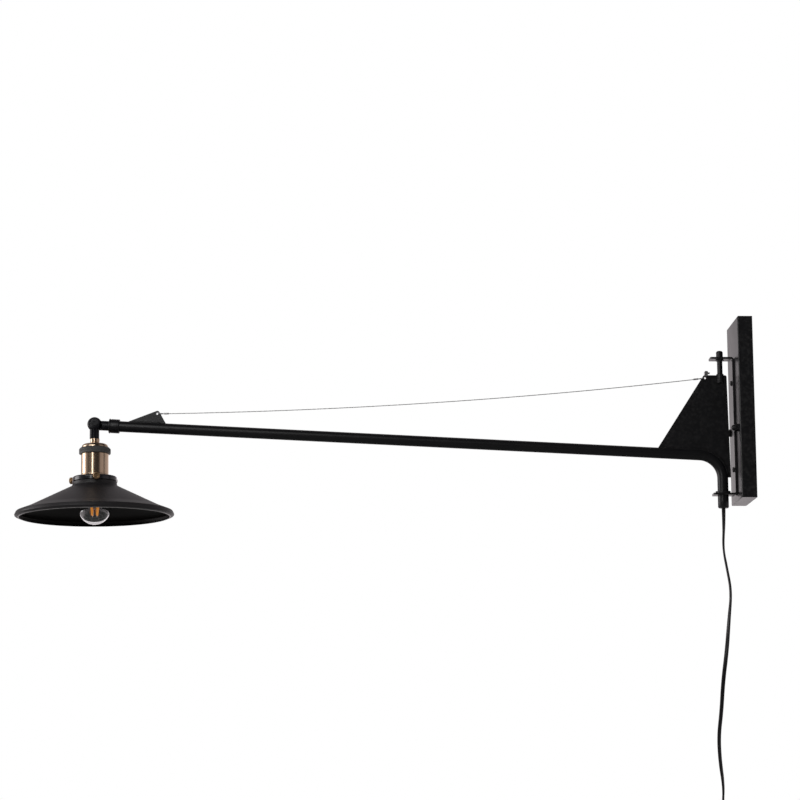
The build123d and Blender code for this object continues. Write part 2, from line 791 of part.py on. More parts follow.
def centre_contact():
    """Spring tongue over the bulb's contact, bent down to meet it."""
    level = insert_floor + contact_thickness / 2
    line = Polyline(
        (contact_end_gap - thread_sleeve_radius, level),
        (-thread_sleeve_radius / 2, level),
        (bulb_contact_radius, bulb_contact_top + contact_thickness),
    )
    half_width = contact_width / 2 - contact_side_gap
    tongue = extrude(Plane.XZ * trace(line, contact_thickness), half_width, both=True)
    return head * tongue


def shade_holder():
    """Drawn cup with a flat top; its wall takes the thumb screws."""
    outer = dome_half(holder_radius, holder_top, holder_round, holder_bottom, shell_skirt_radius)
    inner = dome_half(
        holder_radius - holder_sheet, holder_top - holder_sheet, holder_round - holder_sheet,
        holder_bottom, shell_skirt_radius,
    )
    cup = revolve(Plane.XZ * (outer - inner), Axis.Z)
    for angle in thumb_angles():
        hole = bar_x(thumb_shank_radius + running_fit, shade_collar_radius, holder_radius + 1)
        cup -= Rot(0, 0, angle) * Pos(0, 0, thumb_height) * hole
    return head * cup


def thumb_angles():
    return [thumb_first_angle + turn * 360 / thumb_count for turn in range(thumb_count)]


def holder_lock_ring():
    """Ring on the skirt's thread that clamps the holder from below."""
    high = holder_top - holder_sheet
    ring = sleeve(lock_ring_radius, shell_skirt_radius, high - lock_ring_height, high)
    return head * chamfer(ring.edges().sort_by(Axis.Z)[0], lock_ring_chamfer)


def shade_outline():
    """Outside of the shade, from the flange in its neck to the edge of the lip, as (radius, height)."""
    neck_root = shade_neck_top - shade_neck_step - shade_neck_wall
    return [
        (shade_flange_radius, shade_collar_top),
        (shade_collar_radius, shade_collar_top),
        (shade_collar_radius, shade_neck_top),
        (shade_neck_radius, shade_neck_top - shade_neck_step),
        (shade_neck_radius, neck_root),
        (shade_brim_radius, shade_brim_height),
        (shade_lip_radius, shade_lip_top),
        (shade_rim_radius, shade_rim_height),
        (shade_rim_radius - shade_turn_in, 0),
    ]


def shade():
    """Spun cone: stepped neck, flared brim and a lip turned inwards."""
    sheet = shade_sheet
    rounds = [1.4 * sheet, sheet / 2, 1.1 * sheet, 5 * sheet, 60 * sheet, 2 * sheet, 1.8 * sheet]
    line = FilletPolyline(*shade_outline(), radius=rounds)
    face = make_face(offset(line, sheet, side=Side.RIGHT, closed=True))
    return head * revolve(Plane.XZ * face, Axis.Z)


def thumb_screw(angle):
    """Knurled screw through the holder's wall, its tip on the shade's collar."""
    tip = shade_collar_radius + thumb_tip_gap
    seat = holder_radius + thumb_stand
    end = seat + thumb_head_length
    grip = bar_x(thumb_head_radius, seat, end)
    grip = chamfer(grip.edges().filter_by(GeomType.CIRCLE), thumb_chamfer)
    dimple = bar_x(thumb_dimple_radius, end - thumb_dimple_depth, end)
    screw = bar_x(thumb_shank_radius, tip, seat) + grip - dimple
    return head * Rot(0, 0, angle) * Pos(0, 0, thumb_height) * screw


def bulb_section(ball, neck, throat):
    """Half section of the glass: a ball that runs over a throat into a straight neck."""
    height = bulb_neck_top - bulb_centre
    face = Pos(0, bulb_centre) * Circle(ball) + Pos(0, bulb_centre + height / 2) * Rectangle(2 * neck, height)
    meeting = bulb_centre + sqrt(ball ** 2 - neck ** 2)
    corners = [v for v in face.vertices() if abs(v.Y - meeting) < 0.01]
    face = fillet(corners, throat)
    return face & Pos(2 * ball, 0) * Rectangle(4 * ball, 8 * ball)


def bulb_glass():
    """Ball-shaped glass with a short neck, open into the bulb's cap."""
    wall = bulb_glass_wall
    outer = bulb_section(bulb_radius, bulb_neck_radius, bulb_throat)
    inner = bulb_section(bulb_radius - wall, bulb_neck_radius - wall, bulb_throat + wall)
    return head * revolve(Plane.XZ * (outer - inner), Axis.Z)


def bulb_cap():
    """Metal cap on the neck of the glass, ending in the centre contact."""
    wall = bulb_cap_radius - bulb_cap_wall
    shoulder, floor = bulb_contact_top - bulb_contact_height, bulb_cap_top - bulb_contact_height
    return head * turned(
        (bulb_neck_radius, bulb_cap_bottom), (bulb_cap_radius, bulb_cap_bottom),
        (bulb_cap_radius, bulb_cap_top), (bulb_contact_radius, shoulder), (bulb_contact_radius, bulb_contact_top),
        (0, bulb_contact_top), (0, floor), (wall, floor),
        (wall, bulb_neck_top), (bulb_neck_radius, bulb_neck_top),
    )


def bulb_filaments():
    """Coated filaments on both sides of the glass stem, in two pairs; the left pair leans."""
    rods = []
    for low_x, high_x in zip(filament_low_x, filament_high_x):
        for side in (-1, 1):
            low = Vector(low_x, side * filament_low_y, filament_low)
            high = Vector(high_x, side * filament_high_y, filament_high)
            rod = upright(filament_radius, 0, (high - low).length)
            rods.append(head * Plane(origin=low, z_dir=high - low).location * rod)
    return Compound(rods)


def bulb_stem():
    """Glass stem that carries the filaments, flared where it is sealed into the neck."""
    flare = bulb_neck_radius - bulb_glass_wall
    return head * turned(
        (0, stem_glass_low), (stem_glass_radius, stem_glass_low), (stem_glass_radius, stem_flare_low),
        (flare, stem_flare_high), (flare, stem_glass_top), (0, stem_glass_top),
    )


# ---- the cord's route, chosen by hand: down the pivot axis, then a lazy wave, drifting to the hank
hank_side = hank_inner_turn + 4 * hank_step
cord_route = [
    (pivot_x, 0, bush_bottom),
    (pivot_x, 0, -142.0),
    (pivot_x - 2.4, 0, -176.0),
    (pivot_x + 3.0, 0, -207.0),
    (pivot_x + 8.2, 0, -240.0),
    (pivot_x + 3.6, 0, -280.0),
    (pivot_x - 0.7, 0, -325.0),
    (pivot_x - 7.4, 0.5, -370.0),
    (pivot_x - 10.5, 2.0, -412.0),
    (pivot_x - 15.0, 5.5, -448.0),
    (pivot_x - 13.0, 11.5, -484.0),
    (pivot_x - 7.1, 21.0, -520.0),
    (pivot_x - 7.1, hank_side, -547.0),
    (pivot_x - 7.1, hank_side, hank_top + hank_lead_in),
]


def route_radii(points):
    """The largest bend at each corner: 0.45 of the shorter run over the tangent of half the turn."""
    radii = []
    for a, b, c in zip(points, points[1:], points[2:]):
        before, after = Vector(b) - Vector(a), Vector(c) - Vector(b)
        turn = radians(before.get_angle(after))
        radii.append(0.45 * min(before.length, after.length) / tan(turn / 2))
    return radii


def cord_drop():
    """Free stretch of the cord from the bush to the hank."""
    radii = route_radii(cord_route)
    print("cord radii", [round(r) for r in radii])
    path = FilletPolyline(*cord_route, radius=radii)
    tube = sweep(Plane(origin=cord_route[0], z_dir=(0, 0, -1)) * Circle(cord_radius), path)
    print("cord_drop length", round(path.length, 1), "volume ratio",
          round(tube.volume / (pi * cord_radius ** 2 * path.length), 4))
    return tube


def run_offset(run):
    """Offset of a run's ends from the hank's middle: four steps in, then out again."""
    return hank_inner_turn + hank_step * abs(run - 4)


def run_layer(run):
    """Which layer the run's top and bottom lie in: the fifth run climbs from one to the other."""
    if run < 4:
        return 0, 0
    if run == 4:
        return 0, 1
    return 1, 1


def hank_point(side, offset_y, layer, z):
    return Vector(cord_route[-1][0] + layer * hank_layer_step, side * offset_y, z)


def s_bend(a, b):
    """Two equal arcs from a to b, upright at both ends."""
    middle = (a + b) / 2
    onward = Vector(0, 0, 1 if b.Z > a.Z else -1)
    return [
        TangentArc(a, middle, tangent=onward).edge(),
        TangentArc(b, middle, tangent=-onward).edge(),
    ]


def hank_path():
    """Runs drawn in at the waist and joined by half turns; even runs go down, odd runs up."""
    low = hank_top - hank_run_length
    waist_high = hank_top - (hank_run_length - hank_tied_length) / 2
    waist_low = waist_high - hank_tied_length
    entry = hank_point(1, run_offset(0), 0, hank_top)
    edges, ends = [Line(entry + Vector(0, 0, hank_lead_in), entry).edge()], []
    for run in range(hank_runs):
        side = 1 if run % 2 == 0 else -1
        top_layer, low_layer = run_layer(run)
        wide = run_offset(run)
        mid_layer = (top_layer + low_layer) / 2
        top = hank_point(side, wide, top_layer, hank_top)
        upper = hank_point(side, wide - hank_draw, mid_layer, waist_high)
        lower = hank_point(side, wide - hank_draw, mid_layer, waist_low)
        bottom = hank_point(side, wide, low_layer, low)
        edges += s_bend(top, upper) + [Line(upper, lower).edge()] + s_bend(lower, bottom)
        ends.append((top, bottom))
    for run in range(hank_runs - 1):
        end = 1 if run % 2 == 0 else 0
        a, b = ends[run][end], ends[run + 1][end]
        crown = (a + b) / 2 + Vector(0, 0, (-1 if end else 1) * (a - b).length / 2)
        edges.append(ThreePointArc(a, crown, b).edge())
    last = ends[-1][1]
    edges.append(Line(last, last - Vector(0, 0, plug_tail)).edge())
    return Wire(edges)


def least_gap(path, diameter):
    """Least distance between stretches of a path that are not neighbours, less the diameter."""
    count = int(path.length / 2.5)
    step = path.length / count
    points = [path @ (i / count) for i in range(count + 1)]
    skip = int(4 * diameter / step)
    least = 1e9
    for i, p in enumerate(points):
        for q in points[i + skip:]:
            least = min(least, (p - q).length)
    return least - diameter


def cord_hank():
    """The rest of the cord, folded in two layers of loops."""
    path = hank_path()
    print("hank length", round(path.length, 1), "least gap", round(least_gap(path, cord_width), 2))
    tube = sweep(Plane(origin=path @ 0, z_dir=path % 0) * Circle(cord_radius), path)
    print("hank volume ratio", round(tube.volume / (pi * cord_radius ** 2 * path.length), 4))
    return tube


def hank_tie():
    """Band round the waist of the hank."""
    high = cord_radius + tie_clearance
    left = run_offset(1) - hank_draw + high
    right = run_offset(0) - hank_draw + high
    thick = hank_layer_step + 2 * high
    inner = RectangleRounded(left + right, thick, high)
    outer = RectangleRounded(
        left + right + 2 * tie_thickness, thick + 2 * tie_thickness, high + tie_thickness
    )
    band = extrude(outer - inner, tie_height / 2, both=True)
    x = cord_route[-1][0] + hank_layer_step / 2
    z = hank_top - hank_run_length / 2
    return Pos(x, (right - left) / 2, z) * Rot(0, 0, 90) * band


def plug_place():
    """Frame at the end of the cord: local z points down, out of the plug."""
    last = hank_runs - 1
    end = hank_point(1, run_offset(last), 1, hank_top - hank_run_length - plug_tail)
    return Pos(end) * Rot(180, 0, 0)


def plug_body():
    """Flat two-pin plug: a tapered strain relief that swells into the grip."""
    end, swollen = relief_length + plug_length, relief_length + plug_swell
    small = plug_corner - plug_shoulder_inset
    shoulder = Pos(0, 0, relief_length) * RectangleRounded(
        plug_thickness - 2 * plug_shoulder_inset, plug_shoulder_width, small
    )
    grip = Pos(0, 0, swollen) * RectangleRounded(plug_thickness, plug_width, plug_corner)
    relief = loft(Sketch() + Circle(relief_tip_radius) + shoulder)
    swell = loft(Sketch() + shoulder + grip, ruled=True)
    body = relief + swell + extrude(grip, end - swollen)
    for y in (-pin_spacing / 2, pin_spacing / 2):
        body -= Pos(0, y, 0) * upright(plug_pin_root, end - plug_pin_depth, end)
    return plug_place() * body


def plug_pins():
    """Round pins, each on a thinner root that is moulded into the plug."""
    end = relief_length + plug_length
    pins = []
    for y in (-pin_spacing / 2, pin_spacing / 2):
        pin = upright(plug_pin_radius, end, end + plug_pin_length)
        pin = fillet(pin.edges().sort_by(Axis.Z)[-1], plug_pin_radius * 0.8)
        pin += upright(plug_pin_root, end - plug_pin_depth, end)
        pins.append(plug_place() * Pos(0, y, 0) * pin)
    return Compound(pins)


pieces = [
    wall_plate, wall_crossbar, crossbar_studs, cap_nuts, hinge_bracket, bracket_screws, bracket_nuts,
    arm_tube, main_gusset, pivot_pin, pivot_cap, pivot_washer, thrust_collar, cord_bush, inner_cable,
    tip_gusset, stay_wire, wire_ferrules, wire_clamp, clamp_screw, arm_coupling, knuckle_arm_half,
    knuckle_screw, knuckle_head_half, socket_nipple, head_lead, socket_cap, socket_ring, socket_shell,
    socket_insert, screw_shell, centre_contact, shade_holder, holder_lock_ring, shade, bulb_glass,
    bulb_cap, bulb_filaments, bulb_stem, cord_drop, cord_hank, hank_tie, plug_body, plug_pins,
]
for piece in pieces:
    save(piece.__name__, piece())
for number, angle in enumerate(thumb_angles(), start=1):
    save(f"thumb_screw_{number}", thumb_screw(angle))
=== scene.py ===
import json
from math import atan2, cos, hypot, pi, radians, sin, tan

import bmesh
import bpy
import numpy as np
from mathutils import Matrix, Vector

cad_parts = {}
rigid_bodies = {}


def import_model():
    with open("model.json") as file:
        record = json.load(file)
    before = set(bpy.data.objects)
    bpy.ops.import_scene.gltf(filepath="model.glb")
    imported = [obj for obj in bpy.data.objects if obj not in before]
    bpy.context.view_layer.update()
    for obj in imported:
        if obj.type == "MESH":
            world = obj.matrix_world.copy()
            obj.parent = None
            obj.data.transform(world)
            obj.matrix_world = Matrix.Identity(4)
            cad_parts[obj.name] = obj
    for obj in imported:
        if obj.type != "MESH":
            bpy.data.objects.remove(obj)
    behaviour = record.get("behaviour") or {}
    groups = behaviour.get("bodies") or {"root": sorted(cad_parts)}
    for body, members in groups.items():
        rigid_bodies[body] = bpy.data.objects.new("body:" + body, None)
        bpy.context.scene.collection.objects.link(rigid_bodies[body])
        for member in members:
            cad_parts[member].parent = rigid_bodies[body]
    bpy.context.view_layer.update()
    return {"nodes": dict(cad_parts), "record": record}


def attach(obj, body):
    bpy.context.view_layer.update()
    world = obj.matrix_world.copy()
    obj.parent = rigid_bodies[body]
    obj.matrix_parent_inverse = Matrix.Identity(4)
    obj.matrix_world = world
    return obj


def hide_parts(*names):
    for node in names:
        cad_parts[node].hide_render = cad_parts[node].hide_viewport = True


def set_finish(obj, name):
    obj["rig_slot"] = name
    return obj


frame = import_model()
nodes = frame["nodes"]
mm = 0.001
print("frame loaded:", len(nodes), "nodes")

# Wall lamp with a long arm. Metres, Z up, the wall is x = 0 and the arm reaches out along -x.
# Sizes in the dictionaries are millimetres.

# Camera.
camera = {
    "place": (-546.45, -3065.67, -525.18),
    "pitch": 10.526,            # degrees up
    "heading": 0.506,           # degrees from +y towards +x
    "roll": 0.083,
    "lens": 94.38, "sensor": 36.0,
    "near": 0.05, "far": 60.0,  # metres
}


def placeCamera(c):
    p, h, r = radians(c["pitch"]), radians(c["heading"]), radians(c["roll"])
    ahead = np.array([sin(h), cos(h), 0.0])
    forward = ahead * cos(p) + np.array([0, 0, sin(p)])
    up = -ahead * sin(p) + np.array([0, 0, cos(p)])
    right = np.array([cos(h), -sin(h), 0.0])
    right, up = right * cos(r) + up * sin(r), up * cos(r) - right * sin(r)
    data = bpy.data.cameras.new("camera")
    data.lens, data.sensor_width = c["lens"], c["sensor"]
    data.clip_start, data.clip_end = c["near"], c["far"]
    view = bpy.data.objects.new("camera", data)
    turn = np.column_stack([right, up, -forward])
    place = Matrix.Translation(Vector(c["place"]) * mm)
    view.matrix_world = place @ Matrix(turn.tolist()).to_4x4()
    bpy.context.scene.collection.objects.link(view)
    bpy.context.scene.camera = view


placeCamera(camera)
bpy.context.scene.view_settings.view_transform = "Standard"


# Curves worked out with numpy.
def unit(v):
    # A vector, or each row of vectors, at length 1.
    return v / np.linalg.norm(v, axis=-1, keepdims=True)


def lengths(line):
    # Distance along a line at each of its points.
    return np.r_[0, np.cumsum(np.linalg.norm(np.diff(line, axis=0), axis=1))]


def roundedLine(points, radii, perTurn=12):
    # Corners of a line, in 2 or 3 dimensions, replaced by arcs: the arc touches both runs at
    # radius * tan(half the turn) from the corner. Returns the points of the whole line.
    p = np.asarray(points, float)
    out = [p[:1]]
    for a, b, c, r in zip(p, p[1:], p[2:], radii):
        u, v = unit(b - a), unit(c - b)
        turn = np.arccos(np.clip(u @ v, -1, 1))
        if r <= 0 or turn < 1e-3:
            out.append(b[None])
            continue
        side = unit(v - u * (u @ v))
        t = np.linspace(0, turn, max(3, int(perTurn * turn / (pi / 2)) + 2))[:, None]
        out.append(b - u * r * tan(turn / 2) + r * (np.sin(t) * u + (1 - np.cos(t)) * side))
    return np.vstack(out + [p[-1:]])


def evenLine(line, step):
    # The same line with points about one step apart, so that long runs get vertices too.
    gaps = np.linalg.norm(np.diff(line, axis=0), axis=1)
    parts = [np.linspace(a, b, max(1, int(np.ceil(g / step))), endpoint=False)
             for a, b, g in zip(line, line[1:], gaps) if g > 1e-7]
    return np.vstack(parts + [line[-1:]])


def besideLine(line, distance):
    # A plane line moved sideways: each point goes along the mean normal of its two runs.
    d = unit(np.gradient(line, axis=0))
    return line + distance * np.column_stack([d[:, 1], -d[:, 0]])


def travelFrames(path, first=(0, 1, 0)):
    # Two normals at each point of a path, carried along without twist.
    t = unit(np.gradient(path, axis=0))
    n = np.zeros_like(t)
    carried = np.asarray(first, float)
    for i, tangent in enumerate(t):
        carried = unit(carried - tangent * (carried @ tangent))
        n[i] = carried
    return n, np.cross(t, n)


def roundTurn(count):
    return np.linspace(0, 2 * pi, count, endpoint=False)


def ringsAlong(path, count, first=(0, 1, 0)):
    # Circles of radius 1 round a path: n cos v + b sin v.
    n, b = travelFrames(path, first)
    v = roundTurn(count)[None, :, None]
    return np.cos(v) * n[:, None] + np.sin(v) * b[:, None]


def window(x, low, high, soft):
    # 1 between low and high, falling to 0 over a soft distance inside both.
    return np.clip((x - low) / soft, 0, 1) * np.clip((high - x) / soft, 0, 1)


def dip(angle):
    # 0 at each whole turn and 1 half way.
    return 0.5 - 0.5 * np.cos(angle)


def squared(c, power):
    # A cosine or sine bent towards a square: sign(c) * |c| ** power.
    return np.sign(c) * np.abs(c) ** power


# Meshes.
def addPiece(name, points, faces, smooth=40.0):
    # A mesh object from points in metres; edges sharper than the angle stay sharp.
    mesh = bpy.data.meshes.new(name)
    mesh.from_pydata(np.asarray(points, float).tolist(), [], faces)
    mesh.validate()
    b = bmesh.new()
    b.from_mesh(mesh)
    bmesh.ops.remove_doubles(b, verts=b.verts, dist=2e-6)
    bmesh.ops.recalc_face_normals(b, faces=b.faces)
    b.to_mesh(mesh)
    b.free()
    mesh.shade_smooth()
    mesh.set_sharp_from_angle(angle=radians(smooth))
    piece = bpy.data.objects.new(name, mesh)
    bpy.context.scene.collection.objects.link(piece)
    return piece


def gridFaces(rows, columns, wrapRows=False, capped=False):
    # Quads of a grid whose rows close round, as index quadruples. Wrapping closes the grid the other
    # way too, and capping puts one face over each open end.
    i = np.arange(rows if wrapRows else rows - 1)[:, None]
    j = np.arange(columns)[None, :]
    ni, nj = (i + 1) % rows, (j + 1) % columns
    quads = np.stack([i * columns + j, i * columns + nj, ni * columns + nj, ni * columns + j], -1)
    ends = [list(range(columns))[::-1], list(range((rows - 1) * columns, rows * columns))]
    return quads.reshape(-1, 4).tolist() + (ends if capped else [])


def joinGrids(name, grids, smooth=60.0, wrapRows=False, capped=True):
    # One mesh from grids of points (rows, columns, 3).
    points, faces, start = [], [], 0
    for g in grids:
        rows, columns = g.shape[:2]
        points.append(g.reshape(-1, 3))
        faces += [[i + start for i in f] for f in gridFaces(rows, columns, wrapRows, capped)]
        start += rows * columns
    return addPiece(name, np.concatenate(points), faces, smooth)


def turnedGrid(profile, count, wave=None):
    # (radius, height) profile turned about z: point = (r cos a, r sin a, h), where wave(r, h, a)
    # may add to the radius.
    a = roundTurn(count)[None, :]
    r, h = profile[:, 0][:, None], profile[:, 1][:, None]
    r = r + (wave(r, h, a) if wave else 0 * a)
    return np.stack([r * np.cos(a), r * np.sin(a), h + 0 * a], -1)


def placed(grid, turn, place):
    # Grid in millimetres turned and moved into the frame, in metres.
    return (grid @ np.asarray(turn).T + np.asarray(place)) * mm


def aboutY(angle):
    c, s = cos(radians(angle)), sin(radians(angle))
    return np.array([[c, 0, s], [0, 1, 0], [-s, 0, c]])


def aboutZ(angle):
    c, s = cos(radians(angle)), sin(radians(angle))
    return np.array([[c, -s, 0], [s, c, 0], [0, 0, 1]])


def turnedPiece(name, profile, place, count=128, closed=True, wave=None, smooth=40.0):
    # A turned piece: closed profiles make a shell with thickness, open ones start and end on the axis.
    grid = placed(turnedGrid(profile, count, wave), *place)
    return joinGrids(name, [grid], smooth, wrapRows=closed, capped=False)


def sheetProfile(line, thickness):
    # Closed profile of a sheet: the outer line, then the same line one thickness further in.
    return np.vstack([line, besideLine(line, thickness)[::-1]])


def dress(piece, body, slot, *solids):
    # The body that a piece rides on, its finish, and the solids that it stands for.
    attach(piece, body)
    if solids:
        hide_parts(*solids)
    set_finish(piece, slot)
    return piece


def softCopy(node, body, bevel, segments=2, angle=35):
    # A copy of a CAD node with its triangles merged and its sharp edges rounded.
    mesh = nodes[node].data.copy()
    mesh.materials.clear()
    b = bmesh.new()
    b.from_mesh(mesh)
    bmesh.ops.remove_doubles(b, verts=b.verts, dist=1e-6)
    bmesh.ops.dissolve_limit(b, angle_limit=radians(0.5), verts=b.verts, edges=b.edges)
    b.to_mesh(mesh)
    b.free()
    piece = bpy.data.objects.new(node + "_finish", mesh)
    bpy.context.scene.collection.objects.link(piece)
    cut = piece.modifiers.new("edges", "BEVEL")
    cut.width, cut.segments, cut.limit_method = bevel * mm, segments, "ANGLE"
    cut.angle_limit = radians(angle)
    cut.use_clamp_overlap, cut.harden_normals = True, True
    mesh.shade_smooth()
    mesh.set_sharp_from_angle(angle=radians(angle))
    return dress(piece, body, slotOf[node], node)


# Places shared with the solids.
pivotX = -42.0
armRise, headLean = 2.68, 1.3     # degrees
armEnd = np.array([-972.0, 0.0, 4.933])
knuckle = np.array([-971.925, 0.0, 6.531])
knuckleHeight = 139.0             # above the shade's edge
headTurn = aboutY(-headLean)
headRoot = knuckle - headTurn @ np.array([0, 0, knuckleHeight])
headPlace = (headTurn, headRoot + np.array([0.8, 0, 0]))   # socket and shade, a little nearer the wall
armAxisTurn = aboutY(armRise) @ aboutY(90)                 # z of a turned piece along the arm
pivotPlace = (np.eye(3), np.array([pivotX, 0.0, 0.0]))


# Cord.
cord = {
    "width": 6.0, "thickness": 3.4,
    "waist": 0.16, "waistWidth": 0.55,   # groove between the two cores
    "route": [(-42, 0, -116.1), (-42, 0, -142), (-44.4, 0, -176), (-39, 0, -207), (-33.8, 0, -240),
              (-38.4, 0, -280), (-42.7, 0, -325), (-49.4, 0.5, -370), (-52.5, 2, -412), (-57, 5.5, -448),
              (-55, 11.5, -484), (-49.1, 21, -520), (-49.1, 33.2, -547), (-49.1, 33.2, -566)],
    "top": -574.0, "run": 118.0, "inner": 18.0, "step": 3.8, "draw": 15.0, "layer": 6.9,
    "runs": 7, "inmost": 4, "tail": 40.0, "tied": 10.0, "ringStep": 2.2,
    "twist": [(0, 15), (0.037, 66), (0.08, 88), (0.14, 100), (0.23, 175), (0.29, 195), (0.38, 220),
              (0.425, 262), (0.46, 270), (2.0, 270)],   # metres, degrees
}


def cordPoints(c):
    # The hanging stretch, then runs that narrow at the tie and turn round at both ends.
    points = [np.array(p, float) for p in c["route"]]
    x0 = c["route"][-1][0]
    high, low, middle = c["top"], c["top"] - c["run"], c["top"] - c["run"] / 2
    reach = 0.9 * (c["run"] - c["tied"]) / 4
    widths = [c["inner"] + c["step"] * abs(run - c["inmost"]) for run in range(c["runs"])]
    for run, wide in enumerate(widths):
        side = 1 if run % 2 == 0 else -1            # down on one side, up on the other
        narrow = wide - c["draw"]
        start, end = (high, low) if side > 0 else (low, high)
        near, far = int(run > c["inmost"]), int(run >= c["inmost"])   # layer at the start and the end
        knots = [(start, wide, 0), (start - side * reach, wide, 0.2), (middle + side * reach, narrow, 0.45),
                 (middle - side * reach, narrow, 0.55), (end + side * reach, wide, 0.8), (end, wide, 1)]
        points += [np.array([x0 + c["layer"] * (near * (1 - t) + far * t), side * y, z])
                   for z, y, t in knots]
        if run < c["runs"] - 1:
            radius, centre = (wide + widths[run + 1]) / 2, side * (wide - widths[run + 1]) / 2
            for t, bulge in ((45, 1.08), (90, 1.1), (135, 1.08)):
                points.append(np.array([points[-1][0], centre + side * radius * bulge * cos(radians(t)),
                                        end - side * radius * bulge * sin(radians(t))]))
    last = points[-1]
    points += [last - np.array([0, 0, c["tail"] * share]) for share in (0.5, 1)]
    return np.array(points) * mm


def splineLine(points, perPoint=24):
    # Points along the NURBS spline that has the route's points as its control points.
    data = bpy.data.curves.new("cordLine", "CURVE")
    data.dimensions, data.resolution_u = "3D", perPoint
    line = data.splines.new("NURBS")
    line.points.add(len(points) - 1)
    line.points.foreach_set("co", np.column_stack([points, np.ones(len(points))]).ravel())
    line.order_u, line.use_endpoint_u = 3, True
    holder = bpy.data.objects.new("cordLine", data)
    bpy.context.scene.collection.objects.link(holder)
    bpy.context.view_layer.update()
    graph = bpy.context.evaluated_depsgraph_get()
    mesh = bpy.data.meshes.new_from_object(holder.evaluated_get(graph))
    co = np.zeros(len(mesh.vertices) * 3)
    mesh.vertices.foreach_get("co", co)
    bpy.data.objects.remove(holder)
    bpy.data.meshes.remove(mesh)
    return co.reshape(-1, 3)


def cordPiece(c):
    # Two round cores side by side in one sheath: half width = a cos v with a waist between the cores,
    # carried along the line at equal steps and turned about it by the twist.
    line = splineLine(cordPoints(c))
    line = line[np.r_[True, np.linalg.norm(np.diff(line, axis=0), axis=1) > 1e-6]]
    along = lengths(line)
    s = np.linspace(0, along[-1], int(along[-1] / (c["ringStep"] * mm)))
    path = np.column_stack([np.interp(s, along, line[:, k]) for k in range(3)])
    n, b = travelFrames(path)
    twist = np.radians(np.interp(s, *zip(*c["twist"])))[:, None]
    wide = np.cos(twist) * b + np.sin(twist) * n
    thin = -np.sin(twist) * b + np.cos(twist) * n
    v = roundTurn(20)
    half, thick = c["width"] / 2, c["thickness"] / 2
    x = (half - thick) * np.tanh(3 * np.cos(v)) + thick * np.cos(v)
    y = thick * np.sin(v) * (1 - c["waist"] * np.exp(-(x / c["waistWidth"]) ** 2))
    grid = path[:, None] + mm * (x[None, :, None] * wide[:, None] + y[None, :, None] * thin[:, None])
    print("cord:", round(along[-1], 3), "m on", len(path), "rings")
    return joinGrids("lampCord", [grid]), path, along[-1]


lampCord, cordPath, cordLength = cordPiece(cord)
dress(lampCord, "wall_mount", "cord", "cord_drop", "cord_hank")
print("cord made")


# Plug and tie on the cord.
plug = {
    "top": (-42.2, 25.6, -732.0),
    "length": 55.0, "relief": 21.0, "swell": 8.0, "neck": 4.2,
    "shoulder": (17.5, 12.0), "grip": (35.0, 14.0), "corner": 2.2,
    "flare": 1.6, "square": 2.5,         # how the relief widens, and how square the grip is
    "rings": 5, "ringDepth": 0.45, "ringShare": 0.8,
    "grooves": 4, "grooveDepth": 0.5, "grooveEnd": 6.0, "grooveFade": 3.0,
}


def plugPiece(p):
    # Superellipse sections down the plug: half sizes go from the neck to the shoulder to the grip,
    # the exponent from 2 to 4.5; the relief has ring grooves and the grip's narrow sides have ribs.
    low, high, end = p["relief"], p["relief"] + p["swell"], p["length"] - p["corner"]
    edge = np.linspace(0, pi / 2, 7)[1:]
    t = np.r_[np.linspace(0, low, 60), np.linspace(low, high, 16)[1:], np.linspace(high, end, 60)[1:],
              end + p["corner"] * np.sin(edge)]
    shrink = np.r_[np.zeros(len(t) - len(edge)), p["corner"] * (1 - np.cos(edge))]
    a = np.clip(t / low, 0, 1) ** p["flare"]
    c = np.clip((t - low) / p["swell"], 0, 1)
    c = c * c * (3 - 2 * c)
    wide, thin = (p["neck"] + (shoulder / 2 - p["neck"]) * a + (grip - shoulder) / 2 * c
                  for shoulder, grip in zip(p["shoulder"], p["grip"]))
    ringed, ribbed = low * p["ringShare"], p["length"] - p["grooveEnd"]
    ring = np.where(t < ringed, p["ringDepth"] * dip(2 * pi * p["rings"] * t / ringed) ** 3, 0)
    rib = dip(2 * pi * p["grooves"] * (t - high) / (ribbed - high)) ** 2
    rib = rib * p["grooveDepth"] * window(t, high, ribbed, p["grooveFade"])
    v, power = roundTurn(72)[None, :], (2 / (2 + p["square"] * c))[:, None]
    y = (wide - shrink - ring)[:, None] * squared(np.cos(v), power)
    x = (thin - shrink - ring)[:, None] * squared(np.sin(v), power)
    y = y * (1 - (rib / wide)[:, None] * np.abs(np.cos(v)) ** 6)
    grid = np.stack([x, y, -t[:, None] + 0 * x], -1)
    return joinGrids("plugGrip", [placed(grid, np.eye(3), p["top"])], 50)


plugGrip = dress(plugPiece(plug), "wall_mount", "plug", "plug_body")

tie = {
    "centre": (-45.65, -633.0), "left": 17.6, "right": 21.4, "thick": 13.3, "height": 9.0,
    "sheet": 1.3, "play": 0.15, "overlap": 0.9, "lap": 0.5, "lapPlay": 0.1,   # overlap and lap in radians
    "square": 0.42, "flat": 0.3, "edge": 0.6,     # how square the loop and the strap's section are
}


